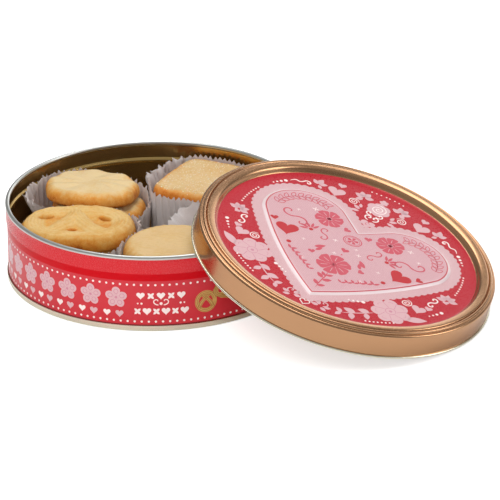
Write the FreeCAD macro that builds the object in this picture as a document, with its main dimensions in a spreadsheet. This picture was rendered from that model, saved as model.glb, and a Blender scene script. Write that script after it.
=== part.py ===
import FreeCAD, Part
import Sketcher
import math
import os

# Round slip-lid biscuit tin holding five paper cups of four biscuits each, with
# the lid off and leaning on the rim at the front right.
# Frame: millimetres, origin on the axis of the tin at the plane the bottom seam
# stands on; +Z up, +X to the right, -Y towards the front.

DOC = FreeCAD.newDocument("biscuit_tin")
PARTS = []

# ------------------------------------------------------ driving dimensions
# A radius is measured from the piece's own axis and is the outer one unless
# named otherwise; half_x and half_y are half sizes of a rounded rectangle.
# Turns are in degrees about Z.
DIMENSIONS = {
    # tin wall
    "sheet_thickness": 0.35, "wall_radius": 72.75, "neck_radius": 73.3,
    "wall_foot": 0.6, "bevel_bottom": 26.2, "bevel_top": 29.6,
    "rim_height": 38.9, "rim_curl": 1.1, "rim_curl_centre": 72.4,
    # double-seamed bottom
    "seam_radius": 73.4, "seam_height": 3.3, "seam_gap": 0.08, "seam_round": 0.25,
    "seam_chamfer": 0.1, "channel_floor": 0.5, "chuck_height": 3.0,
    "chuck_step": 0.07, "panel_lift": 1.5,
    # lid
    "lid_thickness": 0.35, "skirt_radius": 74.05,
    "lid_curl": 0.6, "lid_curl_centre": 74.3,
    "shoulder_height": 12.6, "shoulder_round": 1.15,
    "outer_bead_radius": 71.4, "outer_bead_height": 13.58,
    "groove_radius": 70.4, "groove_height": 12.9,
    "inner_bead_radius": 69.5, "inner_bead_height": 13.8,
    "slope_radius": 66.9, "lid_panel_radius": 64.3, "lid_panel_height": 10.6,
    # embossed heart
    "heart_rise": 0.7, "heart_sink": 0.1,
    "heart_lobe_x": 26.5, "heart_lobe_y": 13.0, "heart_lobe_radius": 22.0,
    "heart_notch_y": 16.5, "heart_tip_y": -51.5, "heart_side_radius": 200.0,
    # lid pose
    "lid_x": 90.36374, "lid_y": -49.88347, "lid_z": 22.57933, "heart_turn": -22.0,
    # paper cups
    "cup_wall": 0.4, "cup_floor": 0.3, "cup_height": 31.0,
    "back_left_x": -31.0, "back_left_y": 28.4, "back_left_turn": -20.0,
    "back_left_half_x": 27.5, "back_left_half_y": 21.8, "back_left_corner": 21.6,
    "front_left_x": -37.3, "front_left_y": -18.0, "front_left_turn": 0.0,
    "front_left_half_x": 29.4, "front_left_half_y": 22.4, "front_left_corner": 22.2,
    "front_x": 10.0, "front_y": -45.2, "front_turn": 0.0, "front_radius": 25.6,
    "right_x": 47.5, "right_y": -8.0, "right_turn": 0.0, "right_radius": 23.8,
    "back_right_x": 22.3, "back_right_y": 40.2, "back_right_turn": 63.0,
    "back_right_half_x": 24.3, "back_right_half_y": 19.5, "back_right_corner": 9.8,
    # biscuits; rest_gap separates any piece from the one it rests on
    "rest_gap": 0.1, "edge_round": 2.6,
    "oval_half_x": 24.0, "oval_half_y": 20.8, "oval_corner": 20.4,
    "oval_thickness": 7.7,
    "pretzel_half_x": 28.4, "pretzel_half_y": 21.5, "pretzel_corner": 21.2,
    "pretzel_thickness": 7.75,
    "round_radius": 24.6, "round_thickness": 7.95,
    "ring_radius": 22.8, "ring_hole_radius": 7.0, "ring_hole_round": 1.2,
    "ring_thickness": 7.4,
    "sugar_half_x": 23.5, "sugar_half_y": 18.7, "sugar_corner": 9.0,
    "sugar_thickness": 7.5,
}

# Unit directions from a lobe's centre to the two ends of its arc, right lobe.
LOBE_TOP_END = (-0.64, 0.768375)
LOBE_SIDE_END = (0.93, -0.367560)
# How far the heart's points move for each millimetre its outline shrinks.
TIP_SHRINK, NOTCH_SHRINK = 1.35, 1.3

# Directions of the leaning lid's own axes, before the heart's turn.
LID_NORMAL = FreeCAD.Vector(0.26547994, -0.1465528, 0.95291273)
LID_X_AXIS = FreeCAD.Vector(0.96411638, 0.04035491, -0.26239489)

# Openings of a pretzel biscuit: x, y, radius.
PRETZEL_HOLES = [(-15.5, 6.5, 2.6), (13.0, 4.5, 2.6), (-2.5, -9.0, 1.5)]
PIERCE_MARGIN = 1.0     # the openings are cut from this far outside each face

SHEET = DOC.addObject("Spreadsheet::Sheet", "Params")
for row, (alias, value) in enumerate(DIMENSIONS.items(), start=1):
    SHEET.set("A%d" % row, alias)
    SHEET.set("B%d" % row, repr(value))
    SHEET.setAlias("B%d" % row, alias)
DOC.recompute()


class Dim:
    """A number that carries the sheet formula behind it."""

    def __init__(self, value, text=None):
        self.value = float(value)
        self.text = text or "(%r)" % self.value

    def __add__(self, other):
        other = as_dim(other)
        return Dim(self.value + other.value, "(%s + %s)" % (self.text, other.text))

    def __sub__(self, other):
        other = as_dim(other)
        return Dim(self.value - other.value, "(%s - %s)" % (self.text, other.text))

    def __mul__(self, other):
        other = as_dim(other)
        return Dim(self.value * other.value, "(%s * %s)" % (self.text, other.text))

    def __neg__(self):
        return self * -1.0

    def root(self):
        return Dim(math.sqrt(self.value), "sqrt(%s)" % self.text)


def as_dim(value):
    return value if isinstance(value, Dim) else Dim(value)


def dim(alias):
    return Dim(DIMENSIONS[alias], "Params." + alias)


def dims(*aliases):
    return [dim(alias) for alias in aliases]


def oblong_dims(key):
    return dims(key + "_half_x", key + "_half_y", key + "_corner")


# ---------------------------------------------------------------- sketches
def sketch_on(body, role, name, lift=None):
    """A sketch on a plane of the body's origin, raised by lift."""
    plane = next(item for item in body.Origin.OriginFeatures if item.Role == role)
    sketch = body.newObject("Sketcher::SketchObject", name)
    sketch.AttachmentSupport = [(plane, "")]
    sketch.MapMode = "FlatFace"
    if lift is not None:
        lift = as_dim(lift)
        sketch.AttachmentOffset = FreeCAD.Placement(
            FreeCAD.Vector(0, 0, lift.value), FreeCAD.Rotation())
        sketch.setExpression("AttachmentOffset.Base.z", lift.text)
    return sketch


def drive(sketch, sizes):
    """Constrain a sketch by (kind, geometry reference, size) and bind the sizes."""
    first = sketch.ConstraintCount
    sketch.addConstraint([
        Sketcher.Constraint(kind, *where, size.value) for kind, where, size in sizes])
    for index, (_, _, size) in enumerate(sizes, start=first):
        sketch.setExpression("Constraints[%d]" % index, size.text)


def arc_between(x1, y1, x2, y2, radius, side):
    """The shorter arc between two points, bulging left (1) or right (-1) of travel."""
    run, climb = x2 - x1, y2 - y1
    chord = math.hypot(run, climb)
    offset = math.sqrt(max(radius * radius - chord * chord / 4, 0.0))
    # the centre lies on the far side of the chord from the bulge
    centre_x = (x1 + x2) / 2 + side * climb / chord * offset
    centre_y = (y1 + y2) / 2 - side * run / chord * offset
    start = math.atan2(y1 - centre_y, x1 - centre_x)
    stop = math.atan2(y2 - centre_y, x2 - centre_x)
    if side > 0:    # clockwise travel, while arcs are stored counter-clockwise
        start, stop = stop, start
    if stop <= start:
        stop += 2 * math.pi
    circle = Part.Circle(
        FreeCAD.Vector(centre_x, centre_y, 0), FreeCAD.Vector(0, 0, 1), radius)
    return Part.ArcOfCircle(circle, start, stop)


def outline(sketch, corners):
    """A closed loop of (x, y) corners. A third entry is the radius of an arc that
    leaves the corner, bulging right of travel, or left if "left" follows it."""
    corners = [tuple(map(as_dim, c[:3])) + tuple(c[3:]) for c in corners]
    geometry, ends, sizes = [], [], []
    for i, corner in enumerate(corners):
        following = corners[(i + 1) % len(corners)]
        x1, y1 = corner[0].value, corner[1].value
        x2, y2 = following[0].value, following[1].value
        side = 1 if len(corner) == 4 else -1
        if len(corner) == 2:
            geometry.append(
                Part.LineSegment(FreeCAD.Vector(x1, y1, 0), FreeCAD.Vector(x2, y2, 0)))
        else:
            geometry.append(arc_between(x1, y1, x2, y2, corner[2].value, side))
        # vertex numbers of the edge's first and last point along the travel
        ends.append((2, 1) if side > 0 else (1, 2))
        sizes.append(("DistanceX", (i, ends[i][0]), corner[0]))
        sizes.append(("DistanceY", (i, ends[i][0]), corner[1]))
        if len(corner) > 2:
            sizes.append(("Radius", (i,), corner[2]))
    sketch.addGeometry(geometry, False)
    joints = []
    for i in range(len(corners)):
        j = (i + 1) % len(corners)
        joints.append(Sketcher.Constraint("Coincident", i, ends[i][1], j, ends[j][0]))
    sketch.addConstraint(joints)
    drive(sketch, sizes)


def oblong(sketch, half_x, half_y, corner):
    """A rounded rectangle centred on the sketch's origin."""
    outline(sketch, [
        (half_x, corner - half_y), (half_x, half_y - corner, corner),
        (half_x - corner, half_y), (corner - half_x, half_y, corner),
        (-half_x, half_y - corner), (-half_x, corner - half_y, corner),
        (corner - half_x, -half_y), (half_x - corner, -half_y, corner),
    ])


def circles(sketch, items):
    """Circles given as (x, y, radius)."""
    sizes = []
    for i, item in enumerate(items):
        x, y, radius = map(as_dim, item)
        sketch.addGeometry(Part.Circle(
            FreeCAD.Vector(x.value, y.value, 0), FreeCAD.Vector(0, 0, 1), radius.value), False)
        sizes += [("DistanceX", (i, 3), x), ("DistanceY", (i, 3), y), ("Radius", (i,), radius)]
    drive(sketch, sizes)


# ------------------------------------------------------ bodies and features
def new_body(name):
    body = DOC.addObject("PartDesign::Body", name)
    body.Label = name
    PARTS.append(body)
    return body


def revolve(body, corners):
    """Turn a closed (radius, height) profile about Z."""
    sketch = sketch_on(body, "XZ_Plane", "profile")
    outline(sketch, corners)
    turned = body.newObject("PartDesign::Revolution", "profile_turned")
    turned.Profile = sketch
    turned.ReferenceAxis = (sketch, ["V_Axis"])
    turned.Angle = 360.0
    DOC.recompute()


def pad(body, sketch, length, name):
    feature = body.newObject("PartDesign::Pad", name)
    feature.Profile = sketch
    feature.Length = length.value
    feature.setExpression("Length", length.text)
    DOC.recompute()
    return feature


def pocket_up(body, sketch, length, name):
    """Cut upwards from the sketch."""
    before = body.Shape.Volume
    feature = body.newObject("PartDesign::Pocket", name)
    feature.Profile = sketch
    feature.Reversed = True
    feature.Length = length.value
    feature.setExpression("Length", length.text)
    DOC.recompute()
    if not body.Shape.Volume < before - 1e-6:
        raise RuntimeError("%s cut nothing" % name)


def round_edges(body, base, radius, heights, name):
    """Fillet the level edges that lie at any of the given heights."""
    edges = []
    for number, edge in enumerate(base.Shape.Edges, start=1):
        box = edge.BoundBox
        if box.ZLength < 1e-6 and any(abs(box.ZMin - z) < 1e-5 for z in heights):
            edges.append("Edge%d" % number)
    fillet = body.newObject("PartDesign::Fillet", name)
    fillet.Base = (base, edges)
    fillet.Radius = radius.value
    fillet.setExpression("Radius", radius.text)
    DOC.recompute()


def place(body, x, y, z, rotation):
    body.Placement = FreeCAD.Placement(FreeCAD.Vector(x.value, y.value, z.value), rotation)
    for axis, distance in (("x", x), ("y", y), ("z", z)):
        body.setExpression("Placement.Base." + axis, distance.text)


def yaw(degrees):
    return FreeCAD.Rotation(FreeCAD.Vector(0, 0, 1), degrees)


# --------------------------------------------------------------------- tin
def make_tin_body():
    """Tinplate tube: straight lower wall, bevel out to the neck, curled rim."""
    sheet, wall, neck, foot = dims("sheet_thickness", "wall_radius", "neck_radius", "wall_foot")
    bevel_bottom, bevel_top = dims("bevel_bottom", "bevel_top")
    rim_top, curl, curl_centre = dims("rim_height", "rim_curl", "rim_curl_centre")
    curl_z = rim_top - curl

    def curl_underside(radius):
        reach = radius - curl_centre
        return curl_z - (curl * curl - reach * reach).root()

    revolve(new_body("tin_body"), [
        (wall, foot), (wall, bevel_bottom), (neck, bevel_top),
        (neck, curl_underside(neck), curl), (curl_centre, rim_top, curl),
        (curl_centre - curl, curl_z, curl),
        (neck - sheet, curl_underside(neck - sheet)), (neck - sheet, bevel_top),
        (wall - sheet, bevel_bottom), (wall - sheet, foot),
    ])


def make_tin_bottom():
    """Recessed panel, chuck wall, and the double seam around the tube's foot."""
    sheet, wall, gap = dims("sheet_thickness", "wall_radius", "seam_gap")
    seam, top, bend = dims("seam_radius", "seam_height", "seam_round")
    chamfer, channel, chuck_top = dims("seam_chamfer", "channel_floor", "chuck_height")
    panel = dim("panel_lift")
    seam_inner = wall + gap
    chuck = wall - sheet - gap          # chuck wall, face towards the tube
    chuck_inner = chuck - sheet
    under = chuck_inner - dim("chuck_step")
    revolve(new_body("tin_bottom"), [
        (0, panel), (under, panel), (under, bend, bend),
        (under + bend, 0), (seam - bend, 0, bend),
        (seam, bend), (seam, top - bend, bend),
        (seam - bend, top), (seam_inner + chamfer, top), (seam_inner, top - chamfer),
        (seam_inner, channel), (chuck, channel), (chuck, chuck_top),
        (chuck_inner, chuck_top), (chuck_inner, panel + sheet), (0, panel + sheet),
    ])


# --------------------------------------------------------------------- lid
def turn_lid(body):
    """Outward curl, plain skirt, rounded shoulder, two beads with a groove between
    them, a sloping ring and a sunk panel. The curl stands on the lid's own z = 0."""
    sheet, skirt = dims("lid_thickness", "skirt_radius")
    curl, curl_centre = dims("lid_curl", "lid_curl_centre")
    shoulder_z, bend = dims("shoulder_height", "shoulder_round")
    outer, outer_z = dims("outer_bead_radius", "outer_bead_height")
    groove, groove_z = dims("groove_radius", "groove_height")
    inner, inner_z = dims("inner_bead_radius", "inner_bead_height")
    slope, panel, panel_z = dims("slope_radius", "lid_panel_radius", "lid_panel_height")
    overhang = curl_centre - skirt
    curl_join = curl + (curl * curl - overhang * overhang).root()
    # The small offsets are the measured outline of the pressed beads.
    revolve(body, [
        # curl, outside of the skirt, shoulder
        (skirt - sheet, curl, curl), (curl_centre, 0, curl),
        (curl_centre + curl, curl, curl),
        (skirt, curl_join), (skirt, shoulder_z - bend, bend),
        (skirt - bend, shoulder_z),
        # top face, inwards: outer bead, groove, inner bead, slope, panel
        (outer + 0.95, shoulder_z), (outer + 0.6, outer_z - 0.3),
        (outer + 0.15, outer_z), (outer - 0.3, outer_z - 0.05),
        (groove + 0.12, groove_z), (groove - 0.12, groove_z),
        (inner + 0.5, inner_z - 0.35), (inner + 0.1, inner_z), (inner - 0.5, inner_z),
        (slope + 0.3, inner_z - 0.35), (slope - 0.8, inner_z - 1.1),
        (panel + 0.75, panel_z + 0.35), (panel, panel_z), (0, panel_z),
        # underside, back outwards
        (0, panel_z - sheet), (panel + 0.15, panel_z - sheet), (panel + 1.05, panel_z),
        (slope - 0.5, inner_z - 1.45), (slope + 0.35, inner_z - 0.72),
        (inner - 0.45, inner_z - sheet), (inner + 0.02, inner_z - sheet),
        (inner + 0.3, inner_z - 0.65),
        (groove - 0.25, groove_z - sheet), (groove + 0.3, groove_z - sheet),
        (outer - 0.2, outer_z - sheet - 0.02), (outer + 0.05, outer_z - sheet),
        (outer + 0.3, outer_z - sheet - 0.2), (outer + 0.62, shoulder_z - sheet),
        (skirt - bend, shoulder_z - sheet, bend - sheet, "left"),
        (skirt - sheet, shoulder_z - bend),
    ])


def heart(sketch, inset):
    """Heart outline shrunk by the inset: two lobe arcs and two side arcs, tip at -Y."""
    lobe_x, lobe_y, side = dims("heart_lobe_x", "heart_lobe_y", "heart_side_radius")
    lobe = dim("heart_lobe_radius") - inset
    top_x, top_y = lobe_x + lobe * LOBE_TOP_END[0], lobe_y + lobe * LOBE_TOP_END[1]
    side_x, side_y = lobe_x + lobe * LOBE_SIDE_END[0], lobe_y + lobe * LOBE_SIDE_END[1]
    tip = dim("heart_tip_y") + inset * TIP_SHRINK
    notch = dim("heart_notch_y") - inset * NOTCH_SHRINK
    outline(sketch, [
        (0, notch), (-top_x, top_y, lobe), (-side_x, side_y, side),
        (0, tip, side), (side_x, side_y, lobe), (top_x, top_y),
    ])


def make_lid():
    lid = new_body("lid")
    turn_lid(lid)
    sheet, panel_z = dims("lid_thickness", "lid_panel_height")
    # the pad starts inside the panel so that it fuses; the hollow starts below it
    sink = dim("heart_sink")
    height = dim("heart_rise") + sink
    sketch = sketch_on(lid, "XY_Plane", "heart_top", panel_z - sink)
    heart(sketch, Dim(0))
    pad(lid, sketch, height, "heart_raised")
    sketch = sketch_on(lid, "XY_Plane", "heart_under", panel_z - sheet - sink)
    heart(sketch, sheet)
    pocket_up(lid, sketch, height, "heart_hollow")

    lid_y_axis = LID_NORMAL.cross(LID_X_AXIS)
    rows = zip(LID_X_AXIS, lid_y_axis, LID_NORMAL)
    entries = [entry for row in rows for entry in (*row, 0)]
    lean = FreeCAD.Rotation(FreeCAD.Matrix(*entries, 0, 0, 0, 1))
    place(lid, *dims("lid_x", "lid_y", "lid_z"), lean * yaw(DIMENSIONS["heart_turn"]))


# -------------------------------------------------------------- paper cups
CUP_Z = dim("panel_lift") + dim("sheet_thickness") + dim("rest_gap")


def place_cup(body, spot):
    place(body, dim(spot + "_x"), dim(spot + "_y"), CUP_Z, yaw(DIMENSIONS[spot + "_turn"]))


def oblong_cup(spot):
    body = new_body("cup_" + spot)
    sizes, height = oblong_dims(spot), dim("cup_height")
    sketch = sketch_on(body, "XY_Plane", "outside")
    oblong(sketch, *sizes)
    pad(body, sketch, height, "block")
    sketch = sketch_on(body, "XY_Plane", "inside", dim("cup_floor"))
    oblong(sketch, *[size - dim("cup_wall") for size in sizes])
    pocket_up(body, sketch, height, "hollow")
    place_cup(body, spot)


def round_cup(spot):
    body = new_body("cup_" + spot)
    radius = dim(spot + "_radius")
    wall, floor, top = dims("cup_wall", "cup_floor", "cup_height")
    revolve(body, [(0, 0), (radius, 0), (radius, top), (radius - wall, top),
                   (radius - wall, floor), (0, floor)])
    place_cup(body, spot)


# ---------------------------------------------------------------- biscuits
def oblong_cookie(name, kind):
    body = new_body(name)
    thickness = dim(kind + "_thickness")
    sketch = sketch_on(body, "XY_Plane", "plan")
    oblong(sketch, *oblong_dims(kind))
    slab = pad(body, sketch, thickness, "slab")
    round_edges(body, slab, dim("edge_round"), (0.0, thickness.value), "baked_edge")
    return body


def pierced_cookie(name, kind):
    body = oblong_cookie(name, kind)
    sketch = sketch_on(body, "XY_Plane", "openings", -PIERCE_MARGIN)
    circles(sketch, PRETZEL_HOLES)
    pocket_up(body, sketch, dim(kind + "_thickness") + 2 * PIERCE_MARGIN, "pierced")
    return body


def outer_edge(kind, start):
    """Profile of a turned biscuit from radius start, round its outer edge, and back."""
    radius, top, bend = dims(kind + "_radius", kind + "_thickness", "edge_round")
    return [(start, 0), (radius - bend, 0, bend), (radius, bend),
            (radius, top - bend, bend), (radius - bend, top)]


def round_cookie(name, kind):
    body = new_body(name)
    revolve(body, outer_edge(kind, 0) + [(0, dim(kind + "_thickness"))])
    return body


def ring_cookie(name, kind):
    body = new_body(name)
    hole, bend, top = dims("ring_hole_radius", "ring_hole_round", kind + "_thickness")
    revolve(body, outer_edge(kind, hole + bend) + [
        (hole + bend, top, bend), (hole, top - bend), (hole, bend, bend)])
    return body


def stack(kind, spot, make_cookie, nudges, top_lift=0, top_tilt=0):
    """Four biscuits in a cup, number 1 at the bottom. A nudge is (along, across) the
    cup; the top biscuit may be lifted, and tilted by degrees about its own X."""
    turn = DIMENSIONS[spot + "_turn"]
    cosine, sine = math.cos(math.radians(turn)), math.sin(math.radians(turn))
    floor = CUP_Z + dim("cup_floor")
    for i, (along, across) in enumerate(nudges):
        is_top = i == len(nudges) - 1
        body = make_cookie("%s_cookie_%d" % (kind, i + 1), kind)
        x = dim(spot + "_x") + (along * cosine - across * sine)
        y = dim(spot + "_y") + (along * sine + across * cosine)
        z = floor + dim("rest_gap") * (i + 1) + dim(kind + "_thickness") * i
        z = z + (top_lift if is_top else 0)
        tilt = FreeCAD.Rotation(FreeCAD.Vector(1, 0, 0), top_tilt if is_top else 0)
        place(body, x, y, z, yaw(turn) * tilt)


# ------------------------------------------------------------------- build
make_tin_body()
make_tin_bottom()
make_lid()

oblong_cup("back_left")
oblong_cup("front_left")
round_cup("front")
round_cup("right")
oblong_cup("back_right")

stack("oval", "back_left", oblong_cookie,
      [(-1.5, 0.0), (0.8, 0.0), (2.6, 0.0), (-0.8, -0.2)], top_lift=1.9, top_tilt=-3.5)
stack("pretzel", "front_left", pierced_cookie,
      [(0.3, 0.0), (-0.3, 0.1), (0.2, 0.0), (0.0, 0.0)])
stack("round", "front", round_cookie,
      [(0.2, 0.0), (-0.3, 0.1), (0.2, -0.2), (0.0, 0.0)])
stack("ring", "right", ring_cookie,
      [(0.2, 0.0), (-0.2, 0.2), (0.1, -0.2), (0.0, 0.0)])
stack("sugar", "back_right", oblong_cookie,
      [(0.2, 0.0), (-0.2, 0.1), (0.1, -0.1), (0.0, 0.0)])

# ------------------------------------------------------------------ export
DOC.recompute()
for obj in DOC.Objects:
    bad = [state for state in obj.State if state in ("Invalid", "Error")]
    if bad:
        raise RuntimeError("%s is %s" % (obj.Label, bad))
for body in PARTS:
    if body.Shape.isNull() or not body.Shape.isValid():
        raise RuntimeError("%s has no valid shape" % body.Label)
    if len(body.Shape.Solids) != 1:
        raise RuntimeError("%s has %d solids" % (body.Label, len(body.Shape.Solids)))
os.makedirs("parts", exist_ok=True)
for body in PARTS:
    body.Shape.exportStep("parts/%s.step" % body.Label)
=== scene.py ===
# A round red biscuit tin, open, with five paper cups of biscuits, and its lid leaning beside it.
# The tin stands on z = 0 about the Z axis, with its front towards -Y and its right towards +X.
# The lid lies tilted at the front right and is modelled in its own frame: +Z out of its top,
# the embossed heart's tip towards -Y. Sizes are in millimetres until add_mesh turns them into
# metres; the studio at the end is in metres.
import math
import random
from math import pi

import bmesh
import bpy
import numpy as np
from mathutils import Matrix, Vector, noise
from mathutils.geometry import delaunay_2d_cdt


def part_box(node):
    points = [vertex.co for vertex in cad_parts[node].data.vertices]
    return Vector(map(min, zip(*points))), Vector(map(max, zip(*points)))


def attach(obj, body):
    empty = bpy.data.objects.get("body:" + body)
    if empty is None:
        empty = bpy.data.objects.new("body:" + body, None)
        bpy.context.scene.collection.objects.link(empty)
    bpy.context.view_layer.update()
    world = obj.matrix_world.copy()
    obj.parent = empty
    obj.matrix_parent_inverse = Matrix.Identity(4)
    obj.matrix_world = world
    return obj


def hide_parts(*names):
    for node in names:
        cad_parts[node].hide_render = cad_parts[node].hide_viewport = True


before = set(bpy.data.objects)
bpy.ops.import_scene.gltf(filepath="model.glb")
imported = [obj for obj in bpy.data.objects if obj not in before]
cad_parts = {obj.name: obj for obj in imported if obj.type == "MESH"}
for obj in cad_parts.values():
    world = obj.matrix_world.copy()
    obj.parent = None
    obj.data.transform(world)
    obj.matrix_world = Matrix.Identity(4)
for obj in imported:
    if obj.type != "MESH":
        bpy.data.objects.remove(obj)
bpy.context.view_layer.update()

MM = 0.001

# ======================================================== shared dimensions
low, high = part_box("tin_body")
RIM_RADIUS = (high.x - low.x) / 2 / MM
RIM_HEIGHT = high.z / MM
WALL_RADIUS = RIM_RADIUS - 0.75
NECK_RADIUS = RIM_RADIUS - 0.20
SHEET = 0.35                        # thickness of the tinplate
low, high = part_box("tin_bottom")
SEAM_RADIUS = (high.x - low.x) / 2 / MM
SEAM_TOP = high.z / MM - 0.45       # where the wall leaves the base seam

# The lid's placement, then turned about its axis to the heart's direction.
LID_CENTRE = np.array([90.36374, -49.88347, 22.57933])
LID_NORMAL = np.array([0.26547994, -0.1465528, 0.95291273])
LID_ACROSS = np.array([0.96411638, 0.04035491, -0.26239489])
LID_UPWARD = np.cross(LID_NORMAL, LID_ACROSS)
HEART_TURN = math.radians(-22.0)
HEART_X = math.cos(HEART_TURN) * LID_ACROSS + math.sin(HEART_TURN) * LID_UPWARD
HEART_Y = -math.sin(HEART_TURN) * LID_ACROSS + math.cos(HEART_TURN) * LID_UPWARD
LID_PLACE = (np.column_stack([HEART_X, HEART_Y, LID_NORMAL]), LID_CENTRE)


# ========================================================= material helpers
def lin(*rgb):
    """sRGB 0-255 to linear, with full alpha."""
    parts = [c / 255.0 for c in rgb]
    return tuple(c / 12.92 if c <= 0.04045 else ((c + 0.055) / 1.055) ** 2.4
                 for c in parts) + (1.0,)


def fill_ramp(node, stops):
    """Sets a colour ramp from (position, colour) stops."""
    elements = node.color_ramp.elements
    while len(elements) > 1:
        elements.remove(elements[-1])
    elements[0].position, elements[0].color = stops[0]
    for position, colour in stops[1:]:
        elements.new(position).color = colour


class Material:
    """A node tree round one Principled shader, with short calls for the usual nodes.

    Textures follow the "loc" attribute, the point in the piece's own millimetres,
    or object coordinates when by_object is set.
    """

    def __init__(self, name, by_object=False):
        self.block = bpy.data.materials.new(name)
        self.block.use_nodes = True
        self.tree = self.block.node_tree
        self.tree.nodes.clear()
        output = self.node("OutputMaterial")
        self.shader = self.node("BsdfPrincipled")
        self.feed(output.inputs["Surface"], self.shader.outputs["BSDF"])
        if by_object:
            self.place = self.node("TexCoord").outputs["Object"]
        else:
            self.place = self.attribute("loc", "Vector")

    def node(self, kind):
        return self.tree.nodes.new("ShaderNode" + kind)

    def feed(self, socket, value):
        """Links an output, or sets a plain value."""
        if hasattr(value, "is_output"):
            self.tree.links.new(value, socket)
        else:
            socket.default_value = value

    def principled(self, **inputs):
        for name, value in inputs.items():
            self.feed(self.shader.inputs[name.replace("_", " ")], value)

    def attribute(self, name, output="Fac"):
        node = self.node("Attribute")
        node.attribute_name = name
        return node.outputs[output]

    def noise(self, scale, detail=4.0, rough=0.55, vector=None):
        node = self.node("TexNoise")
        node.inputs["Scale"].default_value = scale
        node.inputs["Detail"].default_value = detail
        node.inputs["Roughness"].default_value = rough
        self.feed(node.inputs["Vector"], vector or self.place)
        return node.outputs["Fac"]

    def cells(self, scale, randomness=1.0):
        """Distance to the nearest Voronoi point."""
        node = self.node("TexVoronoi")
        node.inputs["Scale"].default_value = scale
        node.inputs["Randomness"].default_value = randomness
        self.feed(node.inputs["Vector"], self.place)
        return node.outputs["Distance"]

    def ramp(self, factor, stops):
        node = self.node("ValToRGB")
        fill_ramp(node, stops)
        self.feed(node.inputs["Fac"], factor)
        return node.outputs["Color"]

    def mix(self, factor, first, second):
        node = self.node("Mix")
        node.data_type = "RGBA"
        # sockets 0, 6 and 7 are the factor and the two colours
        for index, value in ((0, factor), (6, first), (7, second)):
            self.feed(node.inputs[index], value)
        return node.outputs[2]

    def math(self, operation, first, second):
        node = self.node("Math")
        node.operation = operation
        self.feed(node.inputs[0], first)
        self.feed(node.inputs[1], second)
        return node.outputs[0]

    def remap(self, value, span, to):
        node = self.node("MapRange")
        for name, number in zip(("From Min", "From Max", "To Min", "To Max"), (*span, *to)):
            node.inputs[name].default_value = number
        self.feed(node.inputs["Value"], value)
        return node.outputs["Result"]

    def scaled(self, scale):
        node = self.node("Mapping")
        node.inputs["Scale"].default_value = scale
        self.feed(node.inputs["Vector"], self.place)
        return node.outputs["Vector"]

    def bump(self, height, distance, strength):
        node = self.node("Bump")
        node.inputs["Distance"].default_value = distance
        node.inputs["Strength"].default_value = strength
        self.feed(node.inputs["Height"], height)
        return node.outputs["Normal"]


# ============================================================= mesh helpers
def add_mesh(name, verts, faces, materials, slot, face_materials=None, sharp=None, body="root",
             place=None, attributes=None, smooth=True, replaces=None):
    """Adds a piece given in millimetres in its own frame; place is (rotation, origin).

    Edges folded by more than sharp degrees stay crisp.
    """
    verts = np.asarray(verts, float)
    mesh = bpy.data.meshes.new(name)
    mesh.from_pydata([tuple(p) for p in verts], [], faces)
    for material in materials:
        mesh.materials.append(material.block)
    if face_materials is not None:
        mesh.polygons.foreach_set("material_index", np.asarray(face_materials, np.int32))
    mesh.validate()
    own = mesh.attributes.new("loc", "FLOAT_VECTOR", "POINT")
    own.data.foreach_set("vector", verts.astype(np.float32).ravel())
    for key, values in (attributes or {}).items():
        layer = mesh.attributes.new(key, "FLOAT", "POINT")
        layer.data.foreach_set("value", np.asarray(values, np.float32))
    if smooth:
        mesh.polygons.foreach_set("use_smooth", np.ones(len(mesh.polygons), bool))
    bm = bmesh.new()
    bm.from_mesh(mesh)
    bmesh.ops.recalc_face_normals(bm, faces=bm.faces)
    if sharp is not None:
        limit = math.radians(sharp)
        for edge in bm.edges:
            if len(edge.link_faces) == 2 and edge.calc_face_angle(0.0) > limit:
                edge.smooth = False
    bm.to_mesh(mesh)
    bm.free()
    points = np.zeros(len(mesh.vertices) * 3, np.float32)
    mesh.vertices.foreach_get("co", points)
    points = points.reshape(-1, 3).astype(float)
    if place is not None:
        points = points @ place[0].T + place[1]
    mesh.vertices.foreach_set("co", (points * MM).astype(np.float32).ravel())
    mesh.update()
    piece = bpy.data.objects.new(name, mesh)
    bpy.context.scene.collection.objects.link(piece)
    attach(piece, body)
    if replaces:
        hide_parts(replaces)


def arc(cx, cz, radius, start, end, steps):
    """Points on an arc, angles in degrees, both ends included."""
    angles = [math.radians(start + (end - start) * i / steps) for i in range(steps + 1)]
    return [(cx + radius * math.cos(a), cz + radius * math.sin(a)) for a in angles]


def band(points, material):
    """Profile points (r, z) with the material index of the band that follows each."""
    return [(r, z, material) for r, z in points]


def lathe(profile, segments):
    """Turns (r, z, material) points about Z; closed unless the profile starts on the axis."""
    verts, faces, face_materials, rings = [], [], [], []
    angles = [2 * pi * k / segments for k in range(segments)]
    for r, z, _ in profile:
        count = 1 if r < 1e-9 else segments
        rings.append(list(range(len(verts), len(verts) + count)))
        if count == 1:
            verts.append((0.0, 0.0, z))
        else:
            verts += [(r * math.cos(a), r * math.sin(a), z) for a in angles]
    bands = len(profile) - 1 if profile[0][0] < 1e-9 else len(profile)
    for i in range(bands):
        here, there = rings[i], rings[(i + 1) % len(profile)]
        for k, after in loop_edges(range(segments)):
            if len(here) == 1:
                faces.append((here[0], there[after], there[k]))
            elif len(there) == 1:
                faces.append((here[k], here[after], there[0]))
            else:
                faces.append((here[k], here[after], there[after], there[k]))
            face_materials.append(profile[i][2])
    return verts, faces, face_materials


def densify(profile, step):
    """Adds points along long straight runs of a profile."""
    out = []
    for a, b in zip(profile, profile[1:]):
        out.append(a)
        count = int(math.hypot(a[0] - b[0], a[1] - b[1]) // step)
        for j in range(1, count + 1):
            t = j / (count + 1)
            out.append((a[0] + (b[0] - a[0]) * t, a[1] + (b[1] - a[1]) * t, a[2]))
    return out + [profile[-1]]


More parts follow.
